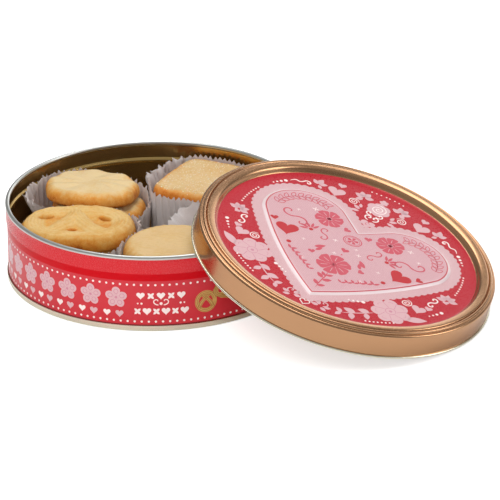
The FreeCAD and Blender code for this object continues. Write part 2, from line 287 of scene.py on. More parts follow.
def loop_edges(ids):
    """Pairs of neighbours round a closed loop of indices."""
    return [(ids[i], ids[(i + 1) % len(ids)]) for i in range(len(ids))]


def grid_points(xs, ys):
    grid_x, grid_y = np.meshgrid(xs, ys)
    return np.column_stack([grid_x.ravel(), grid_y.ravel()])


def smooth01(x):
    x = np.clip(x, 0, 1)
    return x * x * (3 - 2 * x)


# ========================================================= plane geometry
def inside_poly(points, outline):
    x, y = points[:, 0][:, None], points[:, 1][:, None]
    x0, y0 = outline[:, 0][None], outline[:, 1][None]
    x1, y1 = np.roll(outline[:, 0], -1)[None], np.roll(outline[:, 1], -1)[None]
    crosses = (y0 > y) != (y1 > y)
    with np.errstate(divide="ignore", invalid="ignore"):
        hit = (x1 - x0) * (y - y0) / (y1 - y0) + x0
    return (np.sum(crosses & (x < hit), axis=1) % 2) == 1


def within(points, outline, holes):
    """True for points inside the outline and outside every hole."""
    keep = inside_poly(points, outline)
    for hole in holes:
        keep &= ~inside_poly(points, hole)
    return keep


def dist_poly(points, outline, chunk=4000):
    """Distance to a closed outline."""
    start = outline
    run = (np.roll(outline, -1, axis=0) - start)[None]
    out = np.full(len(points), 1e9)
    for i in range(0, len(points), chunk):
        p = points[i:i + chunk][:, None, :]
        along = ((p - start[None]) * run).sum(2) / np.maximum((run * run).sum(2), 1e-12)
        nearest = start[None] + run * np.clip(along, 0, 1)[..., None]
        out[i:i + chunk] = np.sqrt(((p - nearest) ** 2).sum(2)).min(1)
    return out


def resample(loop, step):
    """Closed loop with even spacing of about step."""
    p = np.vstack([loop, loop[:1]])
    run = np.concatenate([[0], np.cumsum(np.linalg.norm(np.diff(p, axis=0), axis=1))])
    at = np.linspace(0, run[-1], int(round(run[-1] / step)), endpoint=False)
    return np.column_stack([np.interp(at, run, p[:, 0]), np.interp(at, run, p[:, 1])])


def offset_loop(loop, distance):
    """Counter-clockwise loop moved outwards."""
    p = np.asarray(loop, float)
    q = np.roll(p, -1, axis=0) - np.roll(p, 1, axis=0)
    q /= np.maximum(np.linalg.norm(q, axis=1, keepdims=True), 1e-9)
    return p + np.column_stack([q[:, 1], -q[:, 0]]) * distance


def fill(outline, holes, inner, tolerance):
    """Triangulates an outline with holes and inner points.

    Returns the points, the counter-clockwise faces and the rim edges.
    """
    edges, start = [], 0
    for loop in (outline, *holes):
        edges += loop_edges(range(start, start + len(loop)))
        start += len(loop)
    points = [Vector(p) for p in np.vstack([outline, *holes, inner])]
    found, _, cells, _, _, _ = delaunay_2d_cdt(points, edges, [], 0, tolerance)
    flat = np.array([tuple(p) for p in found])
    centres = np.array([flat[list(cell)].mean(0) for cell in cells])
    faces, used = [], set()
    for cell, keep in zip(cells, within(centres, outline, holes)):
        if not keep:
            continue
        a, b, c = (flat[i] for i in cell[:3])
        area = (b[0] - a[0]) * (c[1] - a[1]) - (b[1] - a[1]) * (c[0] - a[0])
        face = tuple(cell) if area > 0 else tuple(reversed(cell))
        faces.append(face)
        used.update(loop_edges(face))
    ids = sorted({i for face in faces for i in face})
    new = {old: i for i, old in enumerate(ids)}
    rim = [(new[a], new[b]) for a, b in sorted(used) if (b, a) not in used]
    return flat[ids], [tuple(new[i] for i in face) for face in faces], rim


def rounded_rect(half_x, half_y, corner, count):
    """Evenly spaced points, counter-clockwise, and their outward normals."""
    points, normals = [], []
    for sx, sy, start in ((1, -1, -90), (1, 1, 0), (-1, 1, 90), (-1, -1, 180)):
        for k in range(25):
            a = math.radians(start + 90 * k / 24)
            points.append((sx * (half_x - corner) + corner * math.cos(a),
                           sy * (half_y - corner) + corner * math.sin(a)))
            normals.append((math.cos(a), math.sin(a)))
    p = np.array(points + points[:1])
    q = np.array(normals + normals[:1])
    run = np.concatenate([[0], np.cumsum(np.linalg.norm(np.diff(p, axis=0), axis=1))])
    keep = np.concatenate([[True], np.diff(run) > 1e-9])
    run, p, q = run[keep], p[keep], q[keep]
    at = np.linspace(0, run[-1], count, endpoint=False)
    p = np.column_stack([np.interp(at, run, p[:, 0]), np.interp(at, run, p[:, 1])])
    q = np.column_stack([np.interp(at, run, q[:, 0]), np.interp(at, run, q[:, 1])])
    return p, q / np.linalg.norm(q, axis=1, keepdims=True)


# ============================================================ heart geometry
def line_between(p, q, count=16):
    """Points from p towards q, without q."""
    return [(p[0] + (q[0] - p[0]) * i / count, p[1] + (q[1] - p[1]) * i / count)
            for i in range(count)]


def arc_between(p, q, radius, count):
    """Points from p towards q, without q, on an arc bulging to the right of travel."""
    run_x, run_y = q[0] - p[0], q[1] - p[1]
    chord = math.hypot(run_x, run_y)
    rise = math.sqrt(max(radius * radius - chord * chord / 4, 0.0))
    cx = (p[0] + q[0]) / 2 - run_y / chord * rise
    cy = (p[1] + q[1]) / 2 + run_x / chord * rise
    start, end = math.atan2(p[1] - cy, p[0] - cx), math.atan2(q[1] - cy, q[0] - cx)
    if end < start:
        end += 2 * pi
    angles = [start + (end - start) * i / count for i in range(count)]
    return [(cx + radius * math.cos(a), cy + radius * math.sin(a)) for a in angles]


def heart_outline():
    """The embossed heart, counter-clockwise from the notch."""
    lobe_x, lobe_y, lobe, side = 26.5, 13.0, 22.0, 200.0    # lobe centre, lobe and side radii
    notch, tip = (0.0, 16.5), (0.0, -51.5)
    # where each lobe meets its straight run and its long side
    top_x, top_y = lobe_x - lobe * 0.64, lobe_y + lobe * 0.768375
    side_x, side_y = lobe_x + lobe * 0.93, lobe_y - lobe * 0.367560
    return np.array(line_between(notch, (-top_x, top_y))
                    + arc_between((-top_x, top_y), (-side_x, side_y), lobe, 60)
                    + arc_between((-side_x, side_y), tip, side, 50)
                    + arc_between(tip, (side_x, side_y), side, 50)
                    + arc_between((side_x, side_y), (top_x, top_y), lobe, 60)
                    + line_between((top_x, top_y), notch))


HEART = heart_outline()


def heart_distance(points):
    """Signed distance to the embossed outline, negative inside."""
    d = dist_poly(points, HEART)
    return np.where(inside_poly(points, HEART), -d, d)


PANEL_HEIGHT = 10.6
PANEL_RADIUS = 64.3
EMBOSS_RISE = 0.75
EMBOSS_HALF_WIDTH = 0.75        # the step runs this far to each side of the outline
BEAD_HEIGHT, BEAD_INSET, BEAD_WIDTH = 0.16, 1.7, 0.55
CROWN = 0.15                    # swell of the whole panel at its centre


def panel_z(points):
    points = np.asarray(points, float)
    d = heart_distance(points)
    height = EMBOSS_RISE * smooth01((EMBOSS_HALF_WIDTH - d) / (2 * EMBOSS_HALF_WIDTH))
    height += BEAD_HEIGHT * np.exp(-((d + BEAD_INSET) / BEAD_WIDTH) ** 2)
    reach = (points ** 2).sum(1) / PANEL_RADIUS ** 2
    return PANEL_HEIGHT + height + CROWN * (1 - np.clip(reach, 0, 1))


FIELD_HALF, FIELD_STEP = 66.0, 0.75
FIELD_AXIS = np.arange(-FIELD_HALF, FIELD_HALF + 0.01, FIELD_STEP)
FIELD = heart_distance(grid_points(FIELD_AXIS, FIELD_AXIS)).reshape(2 * (len(FIELD_AXIS),))


def field_distance(points):
    """Bilinear look-up of the signed distance."""
    q = (np.asarray(points, float) + FIELD_HALF) / FIELD_STEP
    q = np.clip(q, 0, len(FIELD_AXIS) - 1.001)
    cell = q.astype(int)
    f = q - cell
    x, y = cell[:, 0], cell[:, 1]
    near = FIELD[y, x] * (1 - f[:, 0]) + FIELD[y, x + 1] * f[:, 0]
    far = FIELD[y + 1, x] * (1 - f[:, 0]) + FIELD[y + 1, x + 1] * f[:, 0]
    return near * (1 - f[:, 1]) + far * f[:, 1]


def heart_ring(distance, step=0.9, rays=480, march=0.25):
    """Even closed contour at a signed distance from the heart, marched along rays."""
    angles = -pi / 2 + 2 * pi * np.arange(rays) / rays
    reach = np.arange(4.0, 64.0, march)
    centre = np.array([0.0, -4.0])
    rays_out = np.column_stack([np.cos(angles), np.sin(angles)])
    points = centre + reach[None, :, None] * rays_out[:, None, :]
    d = field_distance(points.reshape(-1, 2)).reshape(rays, len(reach))
    out = []
    for k in range(rays):
        beyond = np.where(d[k] > distance)[0]
        i = max(int(beyond[0]) if len(beyond) else len(reach) - 1, 1)
        t = (distance - d[k, i - 1]) / max(d[k, i] - d[k, i - 1], 1e-9)
        out.append(centre + (reach[i - 1] + min(t, 1.0) * march) * rays_out[k])
    return resample(np.array(out), step)


def heart_rings(distances):
    return np.vstack([heart_ring(d) for d in distances])


# Contours that carry the relief: across the step, and across the bead inside it.
STEP_LINES = (0.75, 0.5, 0.25, 0.0, -0.25, -0.5, -0.75)
BEAD_LINES = (-1.1, -1.4, -1.7, -2.0, -2.35, -2.8, -3.6)


# ============================================================ tin materials
def tinplate(name, base, rough, wear=0.05, dark=0.55, grain=0.004):
    """Lacquered metal with faint rolling variation and fine scratches.

    wear mixes in the darkened colour, grain is the bump height in millimetres.
    """
    mat = Material(name)
    broad = mat.noise(scale=0.03, detail=3.0)
    fine = mat.noise(scale=2.25, detail=5.0)
    shade = tuple(c * dark ** 0.25 for c in base[:3]) + (1,)
    mottled = mat.mix(mat.remap(broad, span=(0.3, 0.7), to=(0.0, 1.0)), base, shade)
    colour = mat.mix(mat.remap(fine, span=(0.35, 0.7), to=(0.0, wear)), mottled,
                     tuple(c * dark for c in base[:3]) + (1,))
    scratches = mat.noise(scale=6.0, detail=2.0, vector=mat.scaled((0.06, 0.06, 3.0)))
    roughness = mat.math("ADD",
                         mat.remap(broad, span=(0.3, 0.7), to=(rough * 0.85, rough * 1.15)),
                         mat.remap(scratches, span=(0.45, 0.75), to=(0.0, 0.06)))
    mat.principled(Base_Color=colour, Metallic=1.0, Roughness=roughness,
                   Normal=mat.bump(fine, distance=grain * MM, strength=0.35))
    return mat


def ink(name, base, alt, rough=0.3, coat=0.5, coat_rough=0.12, mottle=0.5, specular=0.4,
        dots=0.0, dot_colour=None):
    """Printed ink under varnish: base mottled with alt, and with printed dots if dots is set."""
    mat = Material(name)
    base, alt = lin(*base), lin(*alt)
    broad = mat.noise(scale=0.05, detail=2.0)
    fine = mat.noise(scale=2.6, detail=5.0, rough=0.65)
    colour = mat.mix(mat.remap(fine, span=(0.35, 0.68), to=(0.0, mottle)), base, alt)
    colour = mat.mix(mat.remap(broad, span=(0.35, 0.65), to=(0.0, 0.25)), colour, alt)
    if dots:
        spots = mat.remap(mat.cells(scale=1.15, randomness=0.35), span=(0.12, 0.30), to=(dots, 0.0))
        colour = mat.mix(spots, colour, lin(*dot_colour))
    # the bump is the orange peel of the varnish
    peel = mat.bump(mat.noise(scale=0.9, detail=2.0), distance=0.010 * MM, strength=0.4)
    mat.principled(Specular_IOR_Level=specular, Base_Color=colour,
                   Roughness=mat.remap(fine, span=(0.2, 0.8), to=(rough * 0.8, rough * 1.25)),
                   Coat_Weight=coat, Coat_Roughness=coat_rough, Normal=peel)
    return mat


WALL_RED = ink("print_red_wall", (208, 26, 42), (194, 32, 48),
               rough=0.34, coat=0.36, coat_rough=0.14)
NECK_RED = ink("print_red_neck", (212, 10, 28), (200, 8, 26),
               rough=0.26, coat=0.26, coat_rough=0.07, mottle=0.25)
BEVEL_RED = ink("print_red_bevel", (204, 0, 18), (192, 0, 16),
                coat=0.03, coat_rough=0.10, mottle=0.2, specular=0.10)
# dark red-brown painted shadow for the crease where the wall meets the base seam
PAINTED_CREASE_SHADOW = ink("painted_seam_shadow", (96, 34, 30), (70, 28, 22),
             rough=0.5, coat=0.1, coat_rough=0.05, mottle=0.4)
SILVER = tinplate("tin_silver_rim", (0.70, 0.71, 0.68, 1), rough=0.30)
GOLD = tinplate("gold_lacquer_inside", lin(206, 172, 108), rough=0.22, wear=0.12, grain=0.006)
CREAM_GOLD = tinplate("cream_gold_edge", lin(247, 242, 220), rough=0.20)
COPPER = tinplate("copper_lacquer", lin(196, 150, 112),
                  rough=0.21, wear=0.015, dark=0.85, grain=0.001)
PANEL_RED = ink("print_red_panel", (188, 6, 32), (174, 12, 38),
                rough=0.28, coat=0.26, coat_rough=0.08, specular=0.3)

# ================================================================= tin body
TIN_SEGMENTS = 288
ROLL = 1.1                      # radius of the rolled rim
BEVEL_FOOT = 25.6               # height where the wall starts to widen


def rim_angle(radius):
    """Angle on the rolled rim, in degrees, where its lower half crosses a radius."""
    x = radius - (RIM_RADIUS - ROLL)
    return math.degrees(math.atan2(-math.sqrt(ROLL * ROLL - x * x), x))


def build_tin():
    wall, neck, rim, inside, bevel, crease_shadow = range(6)       # material slots
    liner = WALL_RADIUS - SHEET
    outer = band([(WALL_RADIUS, 0.6)], wall)
    # a thin band of painted shadow just above the seam, in the crease
    outer += band([(WALL_RADIUS, SEAM_TOP - 0.05)], crease_shadow)
    outer += band([(WALL_RADIUS, SEAM_TOP + 0.36), (WALL_RADIUS, BEVEL_FOOT)], wall)
    # soft bends at both ends of the bevel
    outer += band([(WALL_RADIUS + 0.02, 26.0), (WALL_RADIUS + 0.08, 26.5),
                   (NECK_RADIUS - 0.08, 29.3)], bevel)
    outer += band([(NECK_RADIUS - 0.02, 29.8), (NECK_RADIUS, 30.2)], neck)
    top = band(arc(RIM_RADIUS - ROLL, RIM_HEIGHT - ROLL, ROLL, rim_angle(NECK_RADIUS),
                   rim_angle(NECK_RADIUS - SHEET) + 360, 22), rim)
    # the inside, with a rolled bead at the step
    inner = band([(NECK_RADIUS - SHEET, 36.3), (NECK_RADIUS - SHEET, 29.9)]
                 + arc(liner + 0.42, 28.4, 0.95, 118, 238, 14)
                 + [(liner, 26.4), (liner, 0.6)], inside)
    verts, faces, slots = lathe(densify(outer + top + inner, 3.0), TIN_SEGMENTS)
    add_mesh("tin_shell", verts, faces, [WALL_RED, NECK_RED, SILVER, GOLD, BEVEL_RED, PAINTED_CREASE_SHADOW],
             "printed_tinplate", slots, sharp=32, replaces="tin_body")


def build_base():
    """The base disc with two ribs, folded round the foot of the wall."""
    edge, inside = 0, 1
    seam_inner = WALL_RADIUS + 0.08
    fold_outer = WALL_RADIUS - SHEET - 0.08
    fold_inner = fold_outer - 0.35
    under = [(0, 1.5), (28, 1.5), (28.6, 1.75), (29.2, 1.5),
             (58, 1.5), (58.6, 1.75), (59.2, 1.5), (fold_inner - 0.5, 1.5)]
    under += arc(fold_inner - 0.42, 1.15, 0.35, 90, 0, 4)
    under += arc(fold_inner + 0.23, 0.30, 0.30, 180, 270, 6)
    under += arc(SEAM_RADIUS - 0.50, 0.32, 0.32, 270, 350, 7)
    under += [(SEAM_RADIUS - 0.06, 0.95), (SEAM_RADIUS, 1.35), (SEAM_RADIUS - 0.05, 1.9)]
    under += arc(SEAM_RADIUS - 0.27, SEAM_TOP - 0.27, 0.27, 0, 150, 8)
    under += [(seam_inner, SEAM_TOP - 0.35), (seam_inner, 0.5), (fold_outer, 0.5)]
    upper = arc((fold_outer + fold_inner) / 2, 2.9, (fold_outer - fold_inner) / 2, 0, 180, 6)
    upper += [(fold_inner, 2.1), (fold_inner - 0.25, 1.86), (59.2, 1.86), (58.6, 2.05),
              (58.0, 1.86), (29.2, 1.86), (28.6, 2.05), (28, 1.86), (0, 1.86)]
    verts, faces, slots = lathe(densify(band(under, edge) + band(upper, inside), 8.0),
                                TIN_SEGMENTS)
    add_mesh("tin_base", verts, faces, [CREAM_GOLD, GOLD], "gold_tinplate", slots,
             sharp=40, replaces="tin_bottom")


build_tin()
build_base()

# ====================================================================== lid
LID_SEGMENTS = 360
LID_RADIUS = 74.05


def lid_profile():
    """Lid section (r, z, material) from the panel's edge out to the curl and back beneath."""
    curl, side, panel, inside = range(4)
    outer = band(arc(LID_RADIUS + 0.25, 0.6, 0.6, 180, 474.6, 26), curl)
    outer += band([(LID_RADIUS, 1.5), (LID_RADIUS, 11.3)]
                  + arc(LID_RADIUS - 1.2, 11.4, 1.2, 0, 88, 9)      # shoulder
                  + [(72.55, 12.52), (72.3, 12.62)]
                  + arc(71.42, 12.72, 0.86, 8, 165, 10)             # outer bead
                  + [(70.38, 12.86)]
                  + arc(69.55, 12.96, 0.84, 10, 92, 7)              # inner bead
                  + [(68.9, 13.76), (68.0, 13.62), (67.2, 13.45), (66.6, 13.2), (66.1, 12.7),
                     (65.5, 11.7), (65.05, 10.95), (64.8, 10.72)], side)
    outer += band([(PANEL_RADIUS, 10.62)], panel)
    under = [(73.7, 1.0), (73.7, 11.3), (73.4, 11.95), (72.85, 12.22), (72.3, 12.25),
             (71.9, 12.75), (71.4, 13.2), (70.9, 12.75), (70.4, 12.5), (70.0, 12.9),
             (69.5, 13.4), (68.8, 13.4), (67.2, 13.1), (66.75, 12.8), (66.3, 12.3),
             (65.7, 11.3), (65.2, 10.55), (64.8, 10.3), (PANEL_RADIUS, 10.25)]
    return outer[::-1] + band(under, inside)


def build_lid():
    verts, faces, slots = lathe(lid_profile(), LID_SEGMENTS)
    # the embossed panel closes the shell in place of the last band
    faces, slots = faces[:-LID_SEGMENTS], slots[:-LID_SEGMENTS]
    under_ring = len(verts) - LID_SEGMENTS
    grid = grid_points(np.arange(-63, 63.1, 3.0), np.arange(-63, 63.1, 3.0))
    d = heart_distance(grid)
    # plain grid, away from the rim and the relief
    grid = grid[(np.hypot(grid[:, 0], grid[:, 1]) < PANEL_RADIUS - 1.8) & ((d > 1.6) | (d < -5.0))]
    points = [Vector(p[:2]) for p in verts[:LID_SEGMENTS]]
    points += [Vector(p) for p in np.vstack([heart_rings(STEP_LINES + BEAD_LINES), grid])]
    found, _, cells, origin, _, _ = delaunay_2d_cdt(
        points, loop_edges(range(LID_SEGMENTS)), [], 1, 1e-5)
    flat = np.array([tuple(p) for p in found])
    fade = np.clip((PANEL_RADIUS - np.hypot(flat[:, 0], flat[:, 1])) / 1.0, 0, 1)
    heights = PANEL_HEIGHT + (panel_z(flat) - PANEL_HEIGHT) * fade
    # upper face, then the underside
    for drop, ring, slot in ((0.0, 0, 2), (SHEET, under_ring, 3)):
        ids = {}
        for i in range(len(flat)):
            if len(origin[i]) and min(origin[i]) < LID_SEGMENTS:
                ids[i] = ring + min(origin[i])
            else:
                ids[i] = len(verts)
                verts.append((flat[i, 0], flat[i, 1], heights[i] - drop))
        for cell in cells:
            face = tuple(ids[i] for i in cell)
            faces.append(face[::-1] if drop else face)
            slots.append(slot)
    add_mesh("lid_shell", verts, faces, [CREAM_GOLD, COPPER, PANEL_RED, GOLD], "copper_tinplate",
             slots, sharp=50, body="lid", place=LID_PLACE, replaces="lid")


build_lid()


# ======================================================= printed decoration
# Every motif is a thin closed shell of ink, just proud of the tin.
def wall_point(points, lift):
    """(arc length to the right of the front, height) onto the tin's wall."""
    p = np.asarray(points, float)
    radius = WALL_RADIUS + lift
    a = p[:, 0] / WALL_RADIUS
    return np.column_stack([radius * np.sin(a), -radius * np.cos(a), p[:, 1]])


def panel_point(points, lift):
    p = np.asarray(points, float)
    return np.column_stack([p[:, 0], p[:, 1], panel_z(p) + lift])


def mirrored(outline, side):
    """Outline flipped across x when side is -1, keeping its winding."""
    p = np.asarray(outline, float) * (side, 1.0)
    return p if side > 0 else p[::-1]


class Layer:
    """One ink: flat motifs gathered into a single mesh, lift above the tin.

    grid is the spacing of the points inside its shapes. In every call, side -1 mirrors in x.
    """

    SINK = -0.05        # the shell's underside, just below the surface

    def __init__(self, name, material, to_surface, lift, grid, **piece):
        self.name, self.material, self.to_surface = name, material, to_surface
        self.lift, self.grid, self.piece = lift, grid, piece
        self.verts, self.faces = [], []

    def add(self, points, faces, rim):
        """Adds a shell from flat points, their faces and the rim edges."""
        top = sum(len(part) for part in self.verts)
        under = top + len(points)
        self.verts.append(self.to_surface(points, self.lift))
        self.verts.append(self.to_surface(points, self.SINK))
        for face in faces:
            self.faces.append(tuple(top + i for i in face))
            self.faces.append(tuple(under + i for i in reversed(face)))
        for a, b in rim:
            self.faces.append((top + a, under + a, under + b, top + b))

    def shape(self, outline, grid=None, holes=(), extra=None, side=1):
        outline = mirrored(outline, side)
        step = grid or self.grid
        low, high = outline.min(0), outline.max(0)
        inner = np.empty((0, 2))
        if (high - low).max() > step * 1.2:
            inner = grid_points(np.arange(low[0] + step / 2, high[0], step),
                                np.arange(low[1] + step / 2, high[1], step))
            inner = inner[within(inner, outline, holes)]
            edge = np.vstack([outline, *holes])
            gap = np.sqrt(((inner[:, None] - edge[None]) ** 2).sum(2)).min(1)
            inner = inner[gap > step * 0.35]
        if extra is not None:
            inner = np.vstack([inner, extra[within(extra, outline, holes)]])
        self.add(*fill(outline, holes, inner, 1e-5))

    def dot(self, x, y, radius, count=12):
        a = np.arange(count) * 2 * pi / count
        ring = np.column_stack([x + radius * np.cos(a), y + radius * np.sin(a)])
        edges = loop_edges(range(count))
        self.add(np.vstack([ring, [[x, y]]]), [(i, j, count) for i, j in edges], edges)

    def dots(self, table, side=1):
        """table: rows of x, y, radius."""
        for x, y, radius in table:
            self.dot(x * side, y, radius)

    def stroke(self, line, width, end_width=None, taper=1.0, side=1):
        """A brush line from width to end_width; taper thins both ends."""
        p = np.asarray(line, float) * (side, 1.0)
        end_width = width if end_width is None else end_width
        along = np.gradient(p, axis=0)
        along /= np.maximum(np.linalg.norm(along, axis=1, keepdims=True), 1e-9)
        normal = np.column_stack([-along[:, 1], along[:, 0]])
        t = np.linspace(0, 1, len(p))
        ends = np.clip(np.minimum(t, 1 - t) / 0.12, 0, 1)
        half = (width + (end_width - width) * t) / 2 * (1 - taper * 0.65 * (1 - ends) ** 2)
        m = len(p)
        points = np.vstack([p - normal * half[:, None], p + normal * half[:, None]])
        faces = [(i, i + 1, m + i + 1, m + i) for i in range(m - 1)]
        self.add(points, faces, loop_edges([*range(m), *range(2 * m - 1, m - 1, -1)]))

    def ribbon(self, loop, width, side=1):
        """Closed line of even width."""
        p = mirrored(loop, side)
        m = len(p)
        points = np.vstack([offset_loop(p, width / 2), offset_loop(p, -width / 2)])
        faces = [(i, j, m + j, m + i) for i, j in loop_edges(range(m))]
        rim = loop_edges(range(m)) + loop_edges(range(2 * m - 1, m - 1, -1))
        self.add(points, faces, rim)

    def leaves(self, fat, table, count=8, side=1):
        """table: rows of x, y, length, turn."""
        for x, y, length, turn in table:
            self.shape(put(leaf(fat, count), x, y, length, turn), side=side)

    def hearts(self, table, side=1):
        """table: rows of x, y, half width, turn."""
        for x, y, size, turn in table:
            self.shape(put(SMALL_HEART, x, y, size, turn), side=side)

    def finish(self):
        add_mesh(self.name, np.vstack(self.verts), self.faces, [self.material], sharp=30,
                 **self.piece)


def wall_layer(name, material, lift, grid=2.2):
    return Layer(name, material, wall_point, lift, grid, slot="printed_tinplate")


def lid_layer(name, material, lift, grid):
    return Layer(name, material, panel_point, lift, grid,
                 slot="copper_tinplate", body="lid", place=LID_PLACE)


# ---- motif shapes
def put(points, x, y, size=1.0, turn=0.0):
    """Scales, turns counter-clockwise and moves a flat shape."""
    p = np.asarray(points, float) * size
    c, s = math.cos(turn), math.sin(turn)
    return np.column_stack([p[:, 0] * c - p[:, 1] * s + x, p[:, 0] * s + p[:, 1] * c + y])


def bend(points, amount):
    """Curves an upright shape towards +x."""
    return np.column_stack([points[:, 0] + amount * points[:, 1] ** 2, points[:, 1]])


def ellipse(x, y, radius_x, radius_y, count, start=0.0, end=2 * pi):
    """Line round an ellipse, both ends included."""
    t = np.linspace(start, end, count)
    return np.column_stack([x + radius_x * np.cos(t), y + radius_y * np.sin(t)])


def small_heart():
    """A plump heart about 2 wide and 1.9 high."""
    t = np.linspace(0, 2 * pi, 28, endpoint=False)
    x = 0.0625 * 16 * np.sin(t) ** 3
    y = 0.0625 * (13 * np.cos(t) - 5 * np.cos(2 * t) - 2 * np.cos(3 * t) - np.cos(4 * t)) + 0.1
    return np.column_stack([x, y])[::-1]


SMALL_HEART = small_heart()


def blossom(petals, depth, count, round_power=1.0):
    """Round-petalled flower of radius 1."""
    t = np.linspace(0, 2 * pi, count, endpoint=False)
    r = 1 - depth * (1 - np.abs(np.cos(petals * t / 2)) ** round_power)
    return np.column_stack([r * np.sin(t), r * np.cos(t)])


def leaf(fat, count=9):
    """Pointed leaf from the origin to (0, 1)."""
    t = np.linspace(0, 1, count)
    w = fat * np.sin(pi * t) ** 0.8 * (1 - 0.35 * t)
    left = np.column_stack([-w, t])[::-1]
    return np.vstack([np.column_stack([w, t])[:-1], left[:-1]])


def petal(fat):
    """Blunt petal from (0, 0.2) to (0, 1): narrow foot, broad round end."""
    t = np.linspace(0, 1, 9)
    end = np.sqrt(np.clip(1 - np.clip((t - 0.62) / 0.38, 0, 1) ** 2, 0.0, 1))
    w = fat * (0.22 + 0.98 * t ** 0.9) * end
    w[-1] = 0.02
    y = 0.2 + 0.8 * t
    return np.vstack([np.column_stack([w, y]), np.column_stack([-w, y])[::-1]])


def spiral(turns, inner, count, start):
    """Spiral line from the inner radius out to 1."""
    t = np.linspace(0, 1, count)
    r = inner + (1.0 - inner) * t
    a = start + turns * 2 * pi * t
    return np.column_stack([r * np.cos(a), r * np.sin(a)])


def scroll(turn, count=46):
    """A line that starts nearly straight and winds into a curl; about 1.2 across."""
    length, wide, tight = 2.5, 0.95, 0.15       # length and the bend radii at its two ends
    run = np.linspace(0, length, count)
    shrink = wide - tight
    angle = length / shrink * np.log(wide / (wide - shrink * run / length)) * turn / 5.0
    step = length / count
    x, y = np.cumsum(np.cos(angle) * step), np.cumsum(np.sin(angle) * step)
    return np.column_stack([x - x[0], y - y[0]])


PINK = ink("print_pink", (220, 178, 182), (212, 160, 167), mottle=0.55)
PALE = ink("print_pale_pink", (214, 173, 177), (206, 157, 162), mottle=0.6,
           dots=0.5, dot_colour=(238, 216, 216))
HEART_PINK = ink("print_heart_pink", (212, 166, 172), (204, 149, 157), coat=0.55,
                 coat_rough=0.10, mottle=0.6, dots=0.55, dot_colour=(236, 204, 208))
WHITE = ink("print_white", (250, 236, 232), (240, 218, 216), mottle=0.3)
ROSE = ink("print_rose", (204, 66, 84), (196, 82, 98))
CRIMSON = ink("print_crimson", (190, 2, 22), (178, 6, 28),
              rough=0.34, coat=0.12, coat_rough=0.10, mottle=0.4)
# pale pink-white for the painted highlight along the heart's embossed step
EMBOSS_HIGHLIGHT = ink("painted_emboss_highlight", (232, 214, 216), (224, 202, 206), mottle=0.3)
MAUVE = ink("print_mauve", (206, 134, 152), (196, 120, 142), mottle=0.4)
BISCUIT = ink("print_biscuit", (216, 176, 100), (196, 146, 72), rough=0.32, mottle=0.8)
BROWN = ink("print_biscuit_line", (164, 108, 44), (150, 92, 36), rough=0.32)


# =============================================================== wall print
def wall_x(degrees):
    """Arc length of a direction, in degrees to the right of the front."""
    return math.radians(degrees) * WALL_RADIUS


def print_wall_dots(count=134):
    dots = wall_layer("wall_dots", WHITE, 0.03)
    for k in range(count):
        x = (k + 0.35) * (2 * pi * WALL_RADIUS) / count
        dots.dot(x, 24.0, 0.56)
        dots.dot(x, 4.85, 0.56)
    dots.finish()


def print_wall_flowers():
    """Row of five-petalled flowers over pairs of hearts, all round but for the plaque."""
    first, pitch = math.radians(-14.15), math.radians(10.3)
    z, size = 16.9, 5.5
    pink = wall_layer("wall_flowers", PINK, 0.03, grid=2.6)
    mauve = wall_layer("wall_flower_lines", MAUVE, 0.045)
    pink_hearts = wall_layer("wall_hearts_pink", PINK, 0.03, grid=4)
    white_hearts = wall_layer("wall_hearts_white", WHITE, 0.03, grid=4)
    t = np.linspace(0, 2 * pi, 17)
    petal_loop = np.column_stack([0.19 * np.sin(t), 0.56 + 0.21 * np.cos(t)])
    for k in range(29):
        x = (first - k * pitch) * WALL_RADIUS
        pink.shape(put(blossom(5, 0.36, 60, 0.85), x, z, size))
        for j in range(5):
            turn = j * 2 * pi / 5
            mauve.stroke(put(petal_loop, x, z, size, -turn), 0.30, taper=0.0)
            for side in (-1, 1):
                a = turn + side * 0.31
                mauve.dot(x + size * 0.26 * math.sin(a), z + size * 0.26 * math.cos(a),
                          0.17, count=8)
        mauve.shape(put(blossom(5, 0.3, 30), x, z, 0.8, pi))
        spacing = pitch * WALL_RADIUS
        white_hearts.shape(put(SMALL_HEART, x - spacing * 0.36, 8.6, 1.85))
        pink_hearts.shape(put(SMALL_HEART, x + spacing * 0.12, 8.5, 2.0))
    for layer in (pink, mauve, pink_hearts, white_hearts):
        layer.finish()


def print_wall_ornament():
    """Two rows of hearts and four-leaf stars with scrolls between, about the plaque's centre."""
    white = wall_layer("wall_ornament", WHITE, 0.04, grid=3)
    centre = wall_x(3.0)
    rows = ((18.3, 5, 4.9, 2.024), (10.2, 6, 4.55, 2.07))      # height, count, pitch, heart size
    for row, (z, count, pitch, heart) in enumerate(rows):
        for i in range(count):
            x = centre + (i - (count - 1) / 2) * pitch
            if (i + row) % 2 == 0:
                white.shape(put(SMALL_HEART, x, z, heart))
            else:
                white.leaves(0.36, [(x, z, 2.1, q * pi / 2 + pi / 4) for q in range(4)], count=7)
    curl = scroll(4.6) * 2.9
    for side in (-1, 1):
        white.stroke(np.column_stack([centre + side * (1.2 + curl[:, 0]),
                                      13.6 + curl[:, 1] * 0.8]), 0.55, 0.45)
        white.dot(centre + side * 9.4, 14.3, 0.55)
        white.dot(centre + side * 11.2, 14.3, 0.4)
    white.dot(centre, 14.3, 0.75)
    white.finish()


